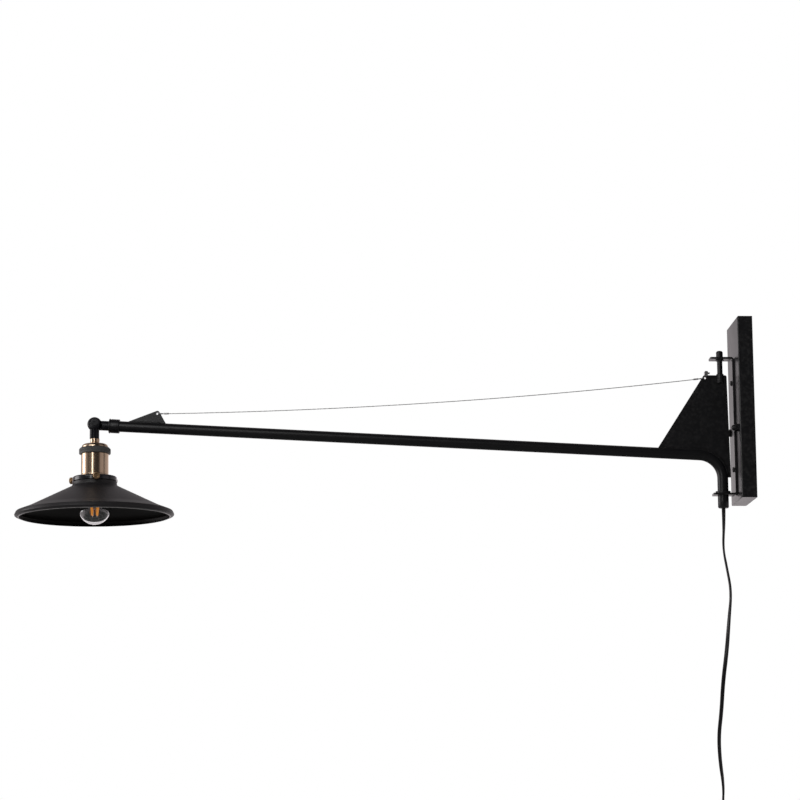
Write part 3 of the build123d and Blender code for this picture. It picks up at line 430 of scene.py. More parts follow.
def tiePiece(k):
    # A strap whose rounded-box section runs round the waist on a superellipse and laps over its start.
    a = np.linspace(0, 2 * pi + k["overlap"], 170) + pi * 0.75
    lap = np.clip((a - a[0] - 2 * pi + k["lap"]) / k["lap"], 0, 1) ** 1.5
    out = 0.5 * k["sheet"] + k["play"] + (k["sheet"] + k["lapPlay"]) * lap
    half, shift = (k["left"] + k["right"]) / 2, (k["right"] - k["left"]) / 2
    y = squared(np.cos(a), k["square"]) * (half + out) + shift
    x = squared(np.sin(a), k["square"]) * (k["thick"] / 2 + out)
    path = np.column_stack([x + k["centre"][0], y, np.full(len(a), k["centre"][1])])
    across = np.cross(unit(np.gradient(path, axis=0)), [0, 0, 1])
    v = roundTurn(24)
    u = squared(np.cos(v), k["flat"]) * k["height"] / 2
    w = squared(np.sin(v), k["edge"]) * k["sheet"] / 2
    grid = path[:, None] + u[None, :, None] * np.array([0, 0, 1.0]) + w[None, :, None] * across[:, None]
    return joinGrids("tieStrap", [grid * mm], 50)


tieStrap = dress(tiePiece(tie), "wall_mount", "tie", "hank_tie")
print("plug and tie made")


# Arm.
arm = {"radius": 8.0, "wall": 1.2, "bend": 35.0, "foot": -115.1, "root": -38.6, "out": 901.0,
       "edge": 0.35, "perTurn": 40, "step": 9.0}


def armLine(a, end):
    # Centre line: up the pivot axis, round the bend, then out along the arm.
    corners = [(pivotX, 0, a["foot"]), (pivotX, 0, a["root"]),
               (pivotX - end, 0, a["root"] + end * tan(radians(armRise)))]
    return evenLine(roundedLine(corners, [a["bend"]], a["perTurn"]), a["step"])


def tubePiece(a):
    # Outer wall up the line and inner wall back, each ring = centre + r (n cos v + b sin v).
    line = armLine(a, a["out"])
    ring = ringsAlong(line, 64)
    outer = line[:, None] + a["radius"] * ring
    outer[0] = line[0] + (a["radius"] - a["edge"]) * ring[0]
    rim = line[0] + unit(line[1] - line[0]) * a["edge"] + a["radius"] * ring[:1]
    inner = (line[:, None] + (a["radius"] - a["wall"]) * ring)[::-1]
    grid = np.concatenate([outer[:1], rim, outer[1:], inner])
    return joinGrids("armPipe", [grid * mm], 50, wrapRows=True, capped=False)


dress(tubePiece(arm), "swing_arm", "black_coat", "arm_tube")

welds = {
    "beside": 2.35, "radius": 1.5, "ripple": 0.16, "pitch": 2.3, "fade": 2.0, "thinnest": 0.25,
    "lift": 7.55, "reach": 895.0,        # on the tube's upper side, and how far out it is measured
    "main": (47.0, -134.5), "tip": (-867.5, -921.0),     # a length along the arm, or x where negative
}


def weldPiece(name, span, w):
    # Bead on both sides of a plate: radius = r + ripple * sin(2 pi s / pitch), seated on the tube.
    line = armLine(arm, w["reach"])
    d, s = unit(np.gradient(line, axis=0)), lengths(line)
    first, last = (end if end > 0 else np.interp(-end, -line[:, 0], s) for end in span)
    lifted = line + w["lift"] * np.column_stack([d[:, 2], 0 * s, -d[:, 0]])
    path = evenLine(lifted[(s >= first) & (s <= last)], 0.7)
    s = lengths(path)
    ends = np.clip(np.minimum(s, s[-1] - s) / w["fade"], w["thinnest"], 1)
    r = (w["radius"] * ends + w["ripple"] * np.sin(2 * pi * s / w["pitch"]))[:, None, None]
    bead = path[:, None] + r * ringsAlong(path, 12)
    return joinGrids(name, [(bead + np.array([0, side * w["beside"], 0])) * mm for side in (-1, 1)])


dress(weldPiece("gussetWeld", welds["main"], welds), "swing_arm", "black_coat")
dress(weldPiece("tipWeld", welds["tip"], welds), "swing_arm", "black_coat")

coupling = {"start": 22.0, "length": 15.4, "seat": 8.4, "flange": 10.8, "body": 10.4, "bore": 5.6,
            "socket": 8.02, "groove": 1.9, "grooveDepth": 0.95}


def couplingPiece(c):
    # Turned ring along the arm with a flange, a groove behind it and rounded edges.
    a, end, g = c["start"], c["start"] + c["length"], c["start"] + c["groove"]
    floor = c["flange"] - c["grooveDepth"]
    corners = [(c["bore"], a), (c["flange"], a), (c["flange"], g), (floor, g + 0.3), (floor, g + 1.0),
               (c["body"], g + 1.4), (c["body"], end), (c["socket"], end), (c["socket"], end - c["seat"]),
               (c["bore"], end - c["seat"])]
    line = roundedLine(corners, [0.5, 0.35, 0.15, 0.15, 0.35, 0.8, 0.2, 0, 0], perTurn=6)
    return turnedPiece("couplingRing", line, (armAxisTurn, armEnd), count=96)


dress(couplingPiece(coupling), "swing_arm", "black_coat", "arm_coupling")

cap = {"radius": 5.0, "low": 109.62, "height": 10.6, "crown": 2.8, "bore": 3.0, "depth": 7.0}


def pivotCapPiece(c):
    low, floor, top = c["low"], c["low"] + c["depth"], c["low"] + c["height"]
    corners = [(0, floor), (c["bore"], floor), (c["bore"], low), (c["radius"], low), (c["radius"], top),
               (0, top)]
    line = roundedLine(corners, [0, 0, 0.4, c["crown"]], perTurn=10)
    return turnedPiece("pinCap", line, pivotPlace, count=64, closed=False)


dress(pivotCapPiece(cap), "swing_arm", "black_coat", "pivot_cap")
print("arm made")


# Stay wire.
wire = {
    "radius": 0.6, "lobe": 0.075, "strands": 6, "lay": 8.0, "sag": 9.8, "pair": 0.66, "beside": 3.4,
    "bend": 1.3, "wideBend": 2.9, "holeRadius": 1.7, "play": 0.05, "loop": 10.0, "sleeve": 7.0, "lead": 1.0,
    "wallHole": (-64.8, 78.9),    # x and z on the wall side
    "tipHole": (91.9, 21.9),      # along and above the arm at the tip
}


def wirePath(w):
    # Loop through the small plate, the sagging arc, and the loop through the big plate.
    tip = armEnd + aboutY(armRise) @ np.array([w["tipHole"][0], 0, w["tipHole"][1]])
    wall = np.array([w["wallHole"][0], 0, w["wallHole"][1]])
    chord = wall - tip
    slope, droop = atan2(chord[2], chord[0]), 4 * w["sag"] / hypot(chord[0], chord[2])

    def loop(hole, angle):
        inside = w["holeRadius"] - w["radius"] - w["play"]
        ends = [(w["loop"] + w["sleeve"], w["pair"]), (w["loop"] - w["lead"], w["pair"]),
                (inside + w["beside"], w["beside"]), (inside, w["beside"])]
        local = [(x, -y) for x, y in ends] + ends[::-1]
        points = [hole + np.array([x * cos(angle), y, x * sin(angle)]) for x, y in local]
        return roundedLine(points, [w["wideBend"]] * 2 + [w["bend"]] * 2 + [w["wideBend"]] * 2)

    first, last = loop(tip, slope - droop), loop(wall, slope + droop + pi)[::-1]
    onward, c = unit(first[-1] - first[-2]), last[0] - first[-1]
    theta = np.arccos(np.clip(onward @ unit(c), -1, 1))
    side = unit(c - onward * (onward @ c))
    reach = np.linalg.norm(c) / (2 * sin(theta))
    f = np.linspace(0, 2 * theta, 60)[1:-1, None]
    span = first[-1] + reach * (np.sin(f) * onward + (1 - np.cos(f)) * side)
    return evenLine(np.vstack([first, span, last]), 1.0)


def wirePiece(w):
    # Stranded wire: radius = r + lobe * (cos(strands * angle + 2 pi s / lay) - 1) along the path.
    path = wirePath(w)
    v, s = roundTurn(18)[None, :], lengths(path)[:, None]
    r = w["radius"] + w["lobe"] * (np.cos(w["strands"] * v + 2 * pi * s / w["lay"]) - 1)
    grid = path[:, None] + r[..., None] * ringsAlong(path, 18, (0, 0, 1))
    return joinGrids("stayStrand", [grid * mm], 80)


dress(wirePiece(wire), "swing_arm", "wire", "stay_wire")
print("wire made")


# Lamp socket.
socket = {
    "capTop": 109.8, "capSide": 19.5, "capShoulder": 5.2, "capWall": 1.2, "capCrown": 0.7,
    "ringTop": 103.6, "ringLow": 94.1, "ringRadius": 23.2, "ringBevel": 2.4, "knurls": 110,
    "knurlDepth": 0.3, "shellTop": 98.0, "shell": 20.15, "wall": 1.0, "bead": 20.8, "beadHeight": 2.4,
    "skirt": 18.9, "mouth": 43.0, "holderTop": 60.4, "threadPitch": 2.0, "threadDepth": 0.32, "fade": 0.8,
    "nipple": 6.8, "nippleThread": 5.0, "nippleBore": 3.6, "nippleEnd": 7.0, "stemEnd": 117.0,
    "groove": (1.2, 1.5, 1.9, 2.2), "grooveDepth": 0.5,
    "gripBare": (0.9, 0.3), "threadBare": (0.8, 6.2),    # plain height below and above
}


def nipplePiece(k):
    # Turned stem with a shallow groove near its lower end.
    low, high, r, thread = k["capTop"], k["stemEnd"], k["nipple"], k["nippleThread"]
    foot, head, floor = low - k["nippleEnd"], high + k["nippleEnd"], r - k["grooveDepth"]
    bore = k["nippleBore"]
    groove = [(x, low + h) for x, h in zip((r, floor, floor, r), k["groove"])]
    corners = [(bore, foot), (thread, foot), (thread, low), (r, low), *groove, (r, high), (thread, high),
               (thread, head), (bore, head)]
    line = roundedLine(corners, [0, 0, 0.35, 0.15, 0.15, 0.15, 0.15, 0.4, 0, 0], perTurn=6)
    return turnedPiece("brassStem", line, headPlace, count=96)


def capPiece(k):
    corners = [(k["nippleThread"], k["capTop"]), (k["capSide"], k["capTop"]), (k["capSide"], k["shellTop"])]
    outer = evenLine(roundedLine(corners, [k["capShoulder"]], perTurn=16), 1.5)
    outer[:, 1] += k["capCrown"] * (np.clip(1 - outer[:, 0] / (k["capSide"] - 3), 0, 1) - 1)
    return turnedPiece("brassDome", sheetProfile(outer, k["capWall"]), headPlace)


def ringPiece(k):
    # Bevelled ring: between the bevels, radius - depth * (0.5 - 0.5 cos(knurls * angle)).
    top, low, r, bevel = k["ringTop"], k["ringLow"], k["ringRadius"], k["ringTop"] - k["ringBevel"]
    corners = [(k["capSide"], top), (r - k["ringBevel"], top), (r, bevel), (r, low), (k["shell"], low),
               (k["shell"], k["shellTop"]), (k["capSide"], k["shellTop"])]
    line = evenLine(roundedLine(corners, [0.5, 0.7, 0.8, 0, 0], perTurn=6), 0.7)

    def grip(radius, height, angle):
        below, above = k["gripBare"]
        gripped = window(height, low + below, bevel - above, k["fade"]) * (radius > r - 0.2)
        return -k["knurlDepth"] * gripped * dip(k["knurls"] * angle)

    return turnedPiece("gripRing", line, headPlace, count=k["knurls"] * 6, wave=grip, smooth=60)


def shellPiece(k):
    # Sleeve with a bead and, below the holder, a thread = depth * cos(2 pi h / pitch + angle).
    bead, inner, skirt = k["holderTop"] + k["beadHeight"], k["shell"] - k["wall"], k["skirt"] - k["wall"]
    corners = [(inner, k["shellTop"]), (k["shell"], k["shellTop"]), (k["shell"], bead + 0.8),
               (k["bead"], bead), (k["bead"], k["holderTop"]), (k["skirt"], k["holderTop"]),
               (k["skirt"], k["mouth"]), (skirt, k["mouth"]), (skirt, bead), (inner, bead)]
    line = evenLine(roundedLine(corners, [0.2, 0.5, 0.5, 0.4, 0, 0.3, 0.3, 0, 0], perTurn=6), 0.45)

    def thread(radius, height, angle):
        below, above = k["threadBare"]
        cut = window(height, k["mouth"] + below, k["holderTop"] - above, k["fade"])
        cut = cut * (radius > k["skirt"] - 0.3) * k["threadDepth"]
        return cut * (0.5 * np.cos(2 * pi * height / k["threadPitch"] + angle) - 0.5)

    return turnedPiece("brassSleeve", line, headPlace, wave=thread, smooth=60)


bulbThread = {"pitch": 3.63, "depth": 0.35, "sleeve": 13.7, "sleeveDepth": 0.1575, "sheet": 0.3,
              "low": 46.0, "high": 69.0, "capRadius": 13.1, "capLow": 37.0, "capHigh": 60.5,
              "contact": 4.8, "contactTop": 66.4, "neck": 12.2}


def threadSleevePiece(k):
    # Rolled thread: radius = r + depth * cos(2 pi h / pitch + angle).
    h = np.linspace(k["low"], k["high"], 90)
    outer = np.column_stack([np.full(len(h), k["sleeve"] + k["sheet"] / 2), h])
    line = np.vstack([outer, (outer - np.array([k["sheet"], 0]))[::-1]])

    def thread(radius, height, angle):
        return k["sleeveDepth"] * np.cos(2 * pi * height / k["pitch"] + angle)

    return turnedPiece("threadSleeve", line, headPlace, count=96, wave=thread, smooth=60)


def bulbCapPiece(k):
    # Rolled cap of the bulb with the same thread, a glass cone and the contact on top.
    r, low, high, top = k["capRadius"] - k["depth"], k["capLow"], k["capHigh"], k["contactTop"]
    corners = [(k["neck"] - 0.1, low + 2), (k["neck"] + 0.05, low), (r, low), (r, high),
               (k["contact"] + 1.2, top - 1.6), (k["contact"], top - 1.0), (k["contact"], top), (0, top)]
    line = evenLine(roundedLine(corners, [0, 0.4, 1.0, 0.6, 0.3, 0.8], perTurn=6), 0.35)
    line = np.vstack([[0, low + 2.0], line])

    def thread(radius, height, angle):
        rolled = np.clip((height - low - 3.5) / 1.5, 0, 1) * np.clip((high - 0.6 - height) / 1.2, 0, 1)
        return rolled * (radius > r - 0.1) * k["depth"] * np.cos(2 * pi * height / k["pitch"] + angle)

    return turnedPiece("bulbScrewCap", line, headPlace, count=96, closed=False, wave=thread, smooth=60)


dress(nipplePiece(socket), "lamp_head", "old_brass", "socket_nipple")
dress(capPiece(socket), "lamp_head", "old_brass", "socket_cap")
dress(ringPiece(socket), "lamp_head", "dark_ring", "socket_ring")
dress(shellPiece(socket), "lamp_head", "old_brass", "socket_shell")
dress(threadSleevePiece(bulbThread), "lamp_head", "pin_metal", "screw_shell")
dress(bulbCapPiece(bulbThread), "lamp_head", "pin_metal", "bulb_cap")
print("socket made")


# Shade and its holder.
holder = {"top": 60.4, "low": 53.6, "radius": 32.5, "sheet": 1.2, "round": 2.9, "bore": 18.9}
shade = {
    "sheet": 1.0, "count": 224,
    "outline": [(26.0, 58.6), (30.8, 58.6), (30.8, 53.2), (32.5, 52.2), (32.5, 46.6), (97.3, 14.8),
                (114.3, 8.3), (117.0, 2.7), (109.8, 0.0)],
    "rounds": [1.4, 0.5, 1.1, 5.0, 60.0, 2.0, 1.8],
    "edge": 1.3,      # below this height the turned-in rim starts; it gets a lighter grey, a painted highlight
}


def holderPiece(k):
    corners = [(k["bore"], k["top"]), (k["radius"], k["top"]), (k["radius"], k["low"])]
    line = evenLine(roundedLine(corners, [k["round"]]), 1.5)
    return turnedPiece("holderCup", sheetProfile(line, k["sheet"]), headPlace, count=160)


def shadePiece(k):
    # Spun sheet: the rounded outline and the same line one thickness inside, turned about the axis.
    # Also returns each face's finish: 0 outside, 1 inside with painted shade, 2 on the turned-in edge with
    # a painted highlight.
    line = evenLine(roundedLine(k["outline"], k["rounds"], perTurn=18), 2.2)
    piece = turnedPiece("spunShade", sheetProfile(line, k["sheet"]), headPlace, count=k["count"], smooth=50)
    rows, rim = np.arange(len(piece.data.polygons)) // k["count"], len(line) - 1
    # Rows of the turned-in rim, which get the painted highlight.
    turnedInPaintedHighlight = (rows < rim) & (line[np.minimum(rows, rim), 1] < k["edge"])
    return piece, np.where(rows >= rim, 1, np.where(turnedInPaintedHighlight, 2, 0)).astype(np.int32)


dress(holderPiece(holder), "lamp_head", "black_gloss", "shade_holder")
spunShade, shadeFinishWithPaintedLight = shadePiece(shade)
dress(spunShade, "lamp_head", "shade_black", "shade")

thumb = {"first": -77.4, "height": 56.6, "tip": 30.9, "seat": 34.6, "length": 4.0, "shank": 2.0,
         "radius": 5.0, "knurls": 32, "depth": 0.35, "bare": 0.7, "fade": 0.3, "dimple": 2.75,
         "dimpleDepth": 0.8, "pitch": 0.8, "threadDepth": 0.12}


def thumbPiece(name, k, angle):
    # Screw along its own z: threaded shank, then a knurled head with a dished end.
    seat, end, floor = k["seat"], k["seat"] + k["length"], k["seat"] + k["length"] - k["dimpleDepth"]
    corners = [(0, k["tip"]), (k["shank"], k["tip"]), (k["shank"], seat), (k["radius"], seat),
               (k["radius"], end), (k["dimple"] + 0.3, end), (k["dimple"], floor), (0, floor)]
    line = evenLine(roundedLine(corners, [0.4, 0.2, 0.5, 0.6, 0.3, 0.3], perTurn=6), 0.25)

    def grip(radius, along, turn):
        head = window(along, seat + k["bare"], end - k["bare"], k["fade"]) * (radius > k["radius"] - 0.1)
        shank = np.clip((seat - k["fade"] - along) / k["fade"], 0, 1) * (np.abs(radius - k["shank"]) < 0.05)
        return (k["threadDepth"] * shank * (np.cos(2 * pi * along / k["pitch"] + turn) - 1)
                - k["depth"] * head * dip(k["knurls"] * turn))

    place = (headTurn @ aboutZ(angle) @ aboutY(90), headRoot + headTurn @ np.array([0, 0, k["height"]]))
    return turnedPiece(name, line, place, count=k["knurls"] * 6, closed=False, wave=grip, smooth=50)


for number, body in enumerate(("thumb_screw_a", "thumb_screw_b", "thumb_screw_c")):
    screw = thumbPiece(f"thumbScrew{number + 1}", thumb, thumb["first"] + 120 * number)
    dress(screw, body, "old_brass", f"thumb_screw_{number + 1}")
print("shade, holder and thumb screws made")


# Bulb.
bulb = {"ball": 23.5, "centre": 12.9, "wall": 0.8, "neck": 12.2, "throat": 9.0, "top": 42.0,
        "filament": 1.45, "low": 0.8, "high": 30.0, "lowX": (-3.0, 3.5), "highX": (-5.6, 6.0), "lowY": 2.2,
        "highY": 5.2, "bare": 1.5, "grip": (0.45, 2.2, 0.6), "lead": 0.28,
        "stem": 2.6, "stemLow": 12.0, "flareLow": 33.0, "flareHigh": 39.0, "stemTop": 40.0}


def bulbSide(k, ball, neck, throat):
    # Ball arc, then the throat's arc, then the neck: the arcs meet on the line between their centres.
    rise = np.sqrt((ball + throat) ** 2 - (neck + throat) ** 2)
    meet = atan2(rise, neck + throat)
    a, b = np.linspace(-pi / 2, meet, 60), np.linspace(meet + pi, pi, 14)[1:]
    arc = np.column_stack([ball * np.cos(a), k["centre"] + ball * np.sin(a)])
    turnIn = np.column_stack([neck + throat + throat * np.cos(b), k["centre"] + rise + throat * np.sin(b)])
    return np.vstack([arc, turnIn, [(neck, k["top"])]])


def glassPiece(k):
    outer = bulbSide(k, k["ball"], k["neck"], k["throat"])
    inner = bulbSide(k, k["ball"] - k["wall"], k["neck"] - k["wall"], k["throat"] + k["wall"])[::-1]
    line = np.vstack([outer, inner])
    line[0, 0] = line[-1, 0] = 0
    return turnedPiece("bulbGlobe", line, headPlace, closed=False, smooth=80)


def stemPiece(k):
    # Glass stem: thin rod with a rounded end that flares to the neck.
    flare = k["neck"] - 0.9
    corners = [(0, k["stemLow"]), (k["stem"], k["stemLow"]), (k["stem"], k["flareLow"]),
               (flare, k["flareHigh"]), (flare, k["stemTop"]), (0, k["stemTop"])]
    line = evenLine(roundedLine(corners, [2.2, 6.0, 0.8, 0.4], perTurn=10), 1.0)
    return turnedPiece("glassStem", line, headPlace, count=64, closed=False, smooth=60)


def rodGrid(a, b, profile=None, radius=0.0, count=8):
    # A turned profile of (radius, distance), or else a plain rod, laid along the line from a to b.
    axis = unit(b - a)
    side = unit(np.cross(axis, [0, 1, 0]))
    turn = np.column_stack([side, np.cross(axis, side), axis])
    profile = np.array(profile or [(radius, 0), (radius, np.linalg.norm(b - a))], float)
    return placed(turnedGrid(profile, count) @ turn.T + a, *headPlace)


def bulbInside(k):
    # Four coated filaments with bare ends, and the wires that hold them on the stem.
    coats, leads = [], []
    r, bare = k["filament"], k["bare"]
    thick, long, inset = k["grip"]
    nose = [(r * sin(t), bare + r * (1 - cos(t))) for t in np.linspace(0, pi / 2, 6)]
    for lowX, highX in zip(k["lowX"], k["highX"]):
        for side in (-1, 1):
            a = np.array([lowX, side * k["lowY"], k["low"]])
            b = np.array([highX, side * k["highY"], k["high"]])
            span, inward = np.linalg.norm(b - a), unit(b - a) * inset
            coats.append(rodGrid(a, b, nose + [(x, span - h) for x, h in nose[::-1]], count=20))
            leads += [rodGrid(p, q, [(thick, 0.0), (thick, long)], count=10) for p, q in ((a, b), (b, a))]
            foot = np.array([0.4 * (lowX > 0), 0, k["stemLow"] + 1.5])
            head = np.array([0.6 * k["stem"] * (1 if highX > 0 else -1), side * 1.2, k["flareLow"] + 1.0])
            leads += [rodGrid(foot, a + inward, radius=k["lead"]),
                      rodGrid(head, b - inward, radius=k["lead"])]
    return joinGrids("filamentCoats", coats), joinGrids("filamentLeads", leads)


dress(glassPiece(bulb), "lamp_head", "glass", "bulb_glass")
dress(stemPiece(bulb), "lamp_head", "stem_glass", "bulb_stem")
filamentCoats, filamentLeads = bulbInside(bulb)
dress(filamentCoats, "lamp_head", "filament", "bulb_filaments")
dress(filamentLeads, "lamp_head", "pin_metal")
print("bulb made")


# Rounded copies of plain solids, with the width of the rounding.
copies = {
    "wall_mount": {"hinge_bracket": 0.3, "wall_plate": 0.2, "cap_nuts": 0.2, "bracket_screws": 0.12,
                   "wall_crossbar": 0.2},
    "swing_arm": {"main_gusset": 0.35, "tip_gusset": 0.35, "pivot_pin": 0.2, "pivot_washer": 0.15,
                  "thrust_collar": 0.2, "cord_bush": 0.15, "wire_clamp": 0.15, "clamp_screw": 0.1,
                  "wire_ferrules": 0.12, "knuckle_arm_half": 0.25, "knuckle_screw": 0.12},
    "lamp_head": {"knuckle_head_half": 0.25, "socket_insert": 0.3, "holder_lock_ring": 0.25},
}
slotOf = {row["node"]: row["material_slot"] for row in frame["record"]["subparts"]}
finished = [softCopy(node, body, bevel)
            for body, group in copies.items() for node, bevel in group.items()]
print("copies made:", len(finished))


# Shader nodes and node groups. A group puts out a mask or a height that changes over the surface.
def feed(tree, node, **inputs):
    # Sockets by name, or by number as i0, i1, ..., set to a value or linked to another node's output.
    for key, value in inputs.items():
        place = int(key[1:]) if key[0] == "i" and key[1:].isdigit() else key.replace("_", " ")
        if isinstance(value, bpy.types.NodeSocket):
            tree.links.new(value, node.inputs[place])
        else:
            node.inputs[place].default_value = value
    return node


def addNode(tree, kind, settings=None, **inputs):
    made = tree.nodes.new("ShaderNode" + kind)
    for key, value in (settings or {}).items():
        setattr(made, key, value)
    return feed(tree, made, **inputs)


def mathNode(tree, operation, a, b=0.0):
    return addNode(tree, "Math", {"operation": operation}, i0=a, i1=b).outputs[0]


def times(tree, a, b):
    return mathNode(tree, "MULTIPLY", a, b)


def ownPoint(tree):
    return addNode(tree, "TexCoord").outputs["Object"]


def noiseNode(tree, where, scale, detail, rough=0.5):
    return addNode(tree, "TexNoise", Vector=where, Scale=scale, Detail=detail, Roughness=rough).outputs[0]


def rampNode(tree, factor, stops):
    # Brightness at each position, in between by straight lines.
    made = addNode(tree, "ValToRGB", i0=factor)
    elements = made.color_ramp.elements
    while len(elements) < len(stops):
        elements.new(1.0)
    for element, (position, grey) in zip(elements, sorted(stops)):
        element.position, element.color = position, (grey, grey, grey, 1)
    return made.outputs[0]


def rangeNode(tree, value, low, high, fromLow=0.0, fromHigh=1.0):
    return addNode(tree, "MapRange", Value=value, From_Min=fromLow, From_Max=fromHigh, To_Min=low,
                   To_Max=high).outputs[0]


def mixColour(tree, factor, a, b):
    a, b = ((*colour, 1) if isinstance(colour, tuple) else colour for colour in (a, b))
    return addNode(tree, "Mix", {"data_type": "RGBA"}, i0=factor, i6=a, i7=b).outputs[2]


def nodeGroup(name, inputs, outputs):
    group = bpy.data.node_groups.new(name, "ShaderNodeTree")
    for label, default in inputs.items():
        if default is None:
            group.interface.new_socket(label, in_out="INPUT", socket_type="NodeSocketVector")
        else:
            made = group.interface.new_socket(label, in_out="INPUT", socket_type="NodeSocketFloat")
            made.default_value = default
    for label in outputs:
        group.interface.new_socket(label, in_out="OUTPUT", socket_type="NodeSocketFloat")
    return group, group.nodes.new("NodeGroupInput").outputs, group.nodes.new("NodeGroupOutput")


def useGroup(tree, group, **inputs):
    made = tree.nodes.new("ShaderNodeGroup")
    made.node_tree = group
    return feed(tree, made, **inputs).outputs


def coatGroup():
    # Powder coat: fine orange peel as height, slow cloudiness for the roughness, dust on upward faces.
    group, into, out = nodeGroup("coatSurface", {"Peel size": 900.0, "Cloud size": 25.0, "Dust": 0.2},
                                 ("Height", "Cloud", "Dust"))
    where = ownPoint(group)
    normal = addNode(group, "NewGeometry").outputs["Normal"]
    upward = addNode(group, "SeparateXYZ", Vector=normal).outputs["Z"]
    settled = rampNode(group, upward, [(0.35, 0.0), (0.95, 1.0)])
    specks = rampNode(group, noiseNode(group, where, 420.0, 3.0), [(0.45, 0.0), (0.72, 1.0)])
    feed(group, out, Height=noiseNode(group, where, into["Peel size"], 2.0, 0.55),
         Cloud=noiseNode(group, where, into["Cloud size"], 4.0, 0.6),
         Dust=times(group, times(group, settled, specks), into["Dust"]))
    return group


def wearGroup():
    # Edges rubbed through: the surface's pointiness, broken up by noise.
    group, into, out = nodeGroup("edgeWear", {"Amount": 0.5, "Break-up size": 260.0}, ("Mask",))
    noise = noiseNode(group, ownPoint(group), into["Break-up size"], 5.0, 0.65)
    pointed = addNode(group, "NewGeometry").outputs["Pointiness"]
    edge = rampNode(group, pointed, [(0.515, 0.0), (0.56, 1.0)])
    broken = rampNode(group, noise, [(0.46, 0.0), (0.62, 1.0)])
    feed(group, out, Mask=times(group, times(group, edge, broken), into["Amount"]))
    return group


def latheGroup():
    # Turning marks: noise that changes only along the piece's axis, which a Mapping outside sets.
    group, into, out = nodeGroup("turningMarks", {"Size": 2500.0, "Blend": 0.35, "Vector": None},
                                 ("Height", "Streak"))
    flat = addNode(group, "Mapping", Vector=into["Vector"], Scale=(0.01, 0.01, 1.0)).outputs[0]
    fine = noiseNode(group, flat, into["Size"], 3.0, 0.7)
    slow = noiseNode(group, into["Vector"], 60.0, 4.0, 0.6)
    mixed = addNode(group, "Mix", {"data_type": "FLOAT"}, i0=into["Blend"], i2=fine, i3=slow)
    feed(group, out, Height=fine, Streak=mixed.outputs[0])
    return group


coatSurface, edgeWear, turningMarks = coatGroup(), wearGroup(), latheGroup()


# Materials.
dustColour, cordDust = (0.32, 0.31, 0.3), (0.2, 0.195, 0.19)
noiseSpan = (0.3, 0.7)     # where most of a noise lies; the roughness is spread over it
bumpDepth = {"paint": 0.12, "metal": 0.05, "grain": 0.1, "glass": 0.5, "cord": 0.06, "tie": 0.3}   # mm


def newMaterial(name):
    made = bpy.data.materials.new(name)
    made.use_nodes = True
    return made, made.node_tree, made.node_tree.nodes["Principled BSDF"]


def setBump(tree, shader, height, strength, distance):
    # The distance is in millimetres.
    bump = addNode(tree, "Bump", Height=height, Strength=strength, Distance=distance * mm)
    feed(tree, shader, Normal=bump.outputs[0])


def paintMaterial(name, look):
    # Painted steel: cloudy black, grey where an edge is rubbed, orange peel in the bump.
    made, tree, shader = newMaterial(name)
    coat = useGroup(tree, coatSurface, Peel_size=look["peel"], Cloud_size=look["cloud"], Dust=look["dust"])
    worn = useGroup(tree, edgeWear, Amount=look["wear"])
    base = mixColour(tree, coat["Cloud"], look["dark"], look["light"])
    base = mixColour(tree, worn["Mask"], base, look["rubbed"])
    base = mixColour(tree, coat["Dust"], base, dustColour)
    rough = rangeNode(tree, coat["Cloud"], *look["rough"], *noiseSpan)
    rough = mathNode(tree, "ADD", rough, times(tree, coat["Dust"], 0.5))
    feed(tree, shader, Base_Color=base, Roughness=rough, Specular_IOR_Level=look["shine"],
         Coat_Weight=look.get("coat", 0.0), Coat_Roughness=0.1)
    setBump(tree, shader, coat["Height"], look["bump"], bumpDepth["paint"])
    return made


def metalMaterial(name, look):
    # Turned metal: streaked by turning marks, darker with tarnish, brighter on rubbed edges.
    made, tree, shader = newMaterial(name)
    axis = addNode(tree, "Mapping", Vector=ownPoint(tree), Rotation=look.get("turn", (0, 0, 0))).outputs[0]
    marks = useGroup(tree, turningMarks, Size=look["marks"], Vector=axis)
    worn = useGroup(tree, edgeWear, Amount=look["wear"])
    streaks = rampNode(tree, marks["Streak"], [(0.35, 0.0), (0.68, 1.0)])
    base = mixColour(tree, streaks, look["dark"], look["light"])
    base = mixColour(tree, worn["Mask"], base, look["rubbed"])
    feed(tree, shader, Base_Color=base, Metallic=look.get("metal", 1.0),
         Roughness=rangeNode(tree, marks["Streak"], *look["rough"][::-1], *noiseSpan))
    setBump(tree, shader, marks["Height"], look["bump"], bumpDepth["metal"])
    return made


def grainMaterial(name, look):
    # Fine grain in the colour, the gloss and the height; a coating may get a faint painted glow in its own
    # colour, light that the unlit part does not give.
    made, tree, shader = newMaterial(name)
    grain = noiseNode(tree, ownPoint(tree), look["grain"], 3.0)
    low, high = look["edges"]
    colour = mixColour(tree, rampNode(tree, grain, [(low, 0.0), (high, 1.0)]), look["dark"], look["light"])
    feed(tree, shader, Base_Color=colour, Roughness=rangeNode(tree, grain, *look["rough"]))
    # Painted glow: emission that brightens an unlit coating.
    if "paintedGlow" in look:
        feed(tree, shader, Emission_Color=colour, Emission_Strength=look["paintedGlow"])
    setBump(tree, shader, grain, look["bump"], bumpDepth["grain"])
    return made


def glassMaterial(name, look):
    # Thin clear glass with slight waviness; a faint film changes the roughness.
    made, tree, shader = newMaterial(name)
    where = ownPoint(tree)
    film = noiseNode(tree, where, look["film"], 4.0)
    feed(tree, shader, Base_Color=mixColour(tree, film, look["tint"], (1.0, 1.0, 1.0)),
         Roughness=rangeNode(tree, film, *look["rough"], 0.4, 0.75), Transmission_Weight=1.0, IOR=1.5)
    setBump(tree, shader, noiseNode(tree, where, look["waves"], 1.0), look["bump"], bumpDepth["glass"])
    return made


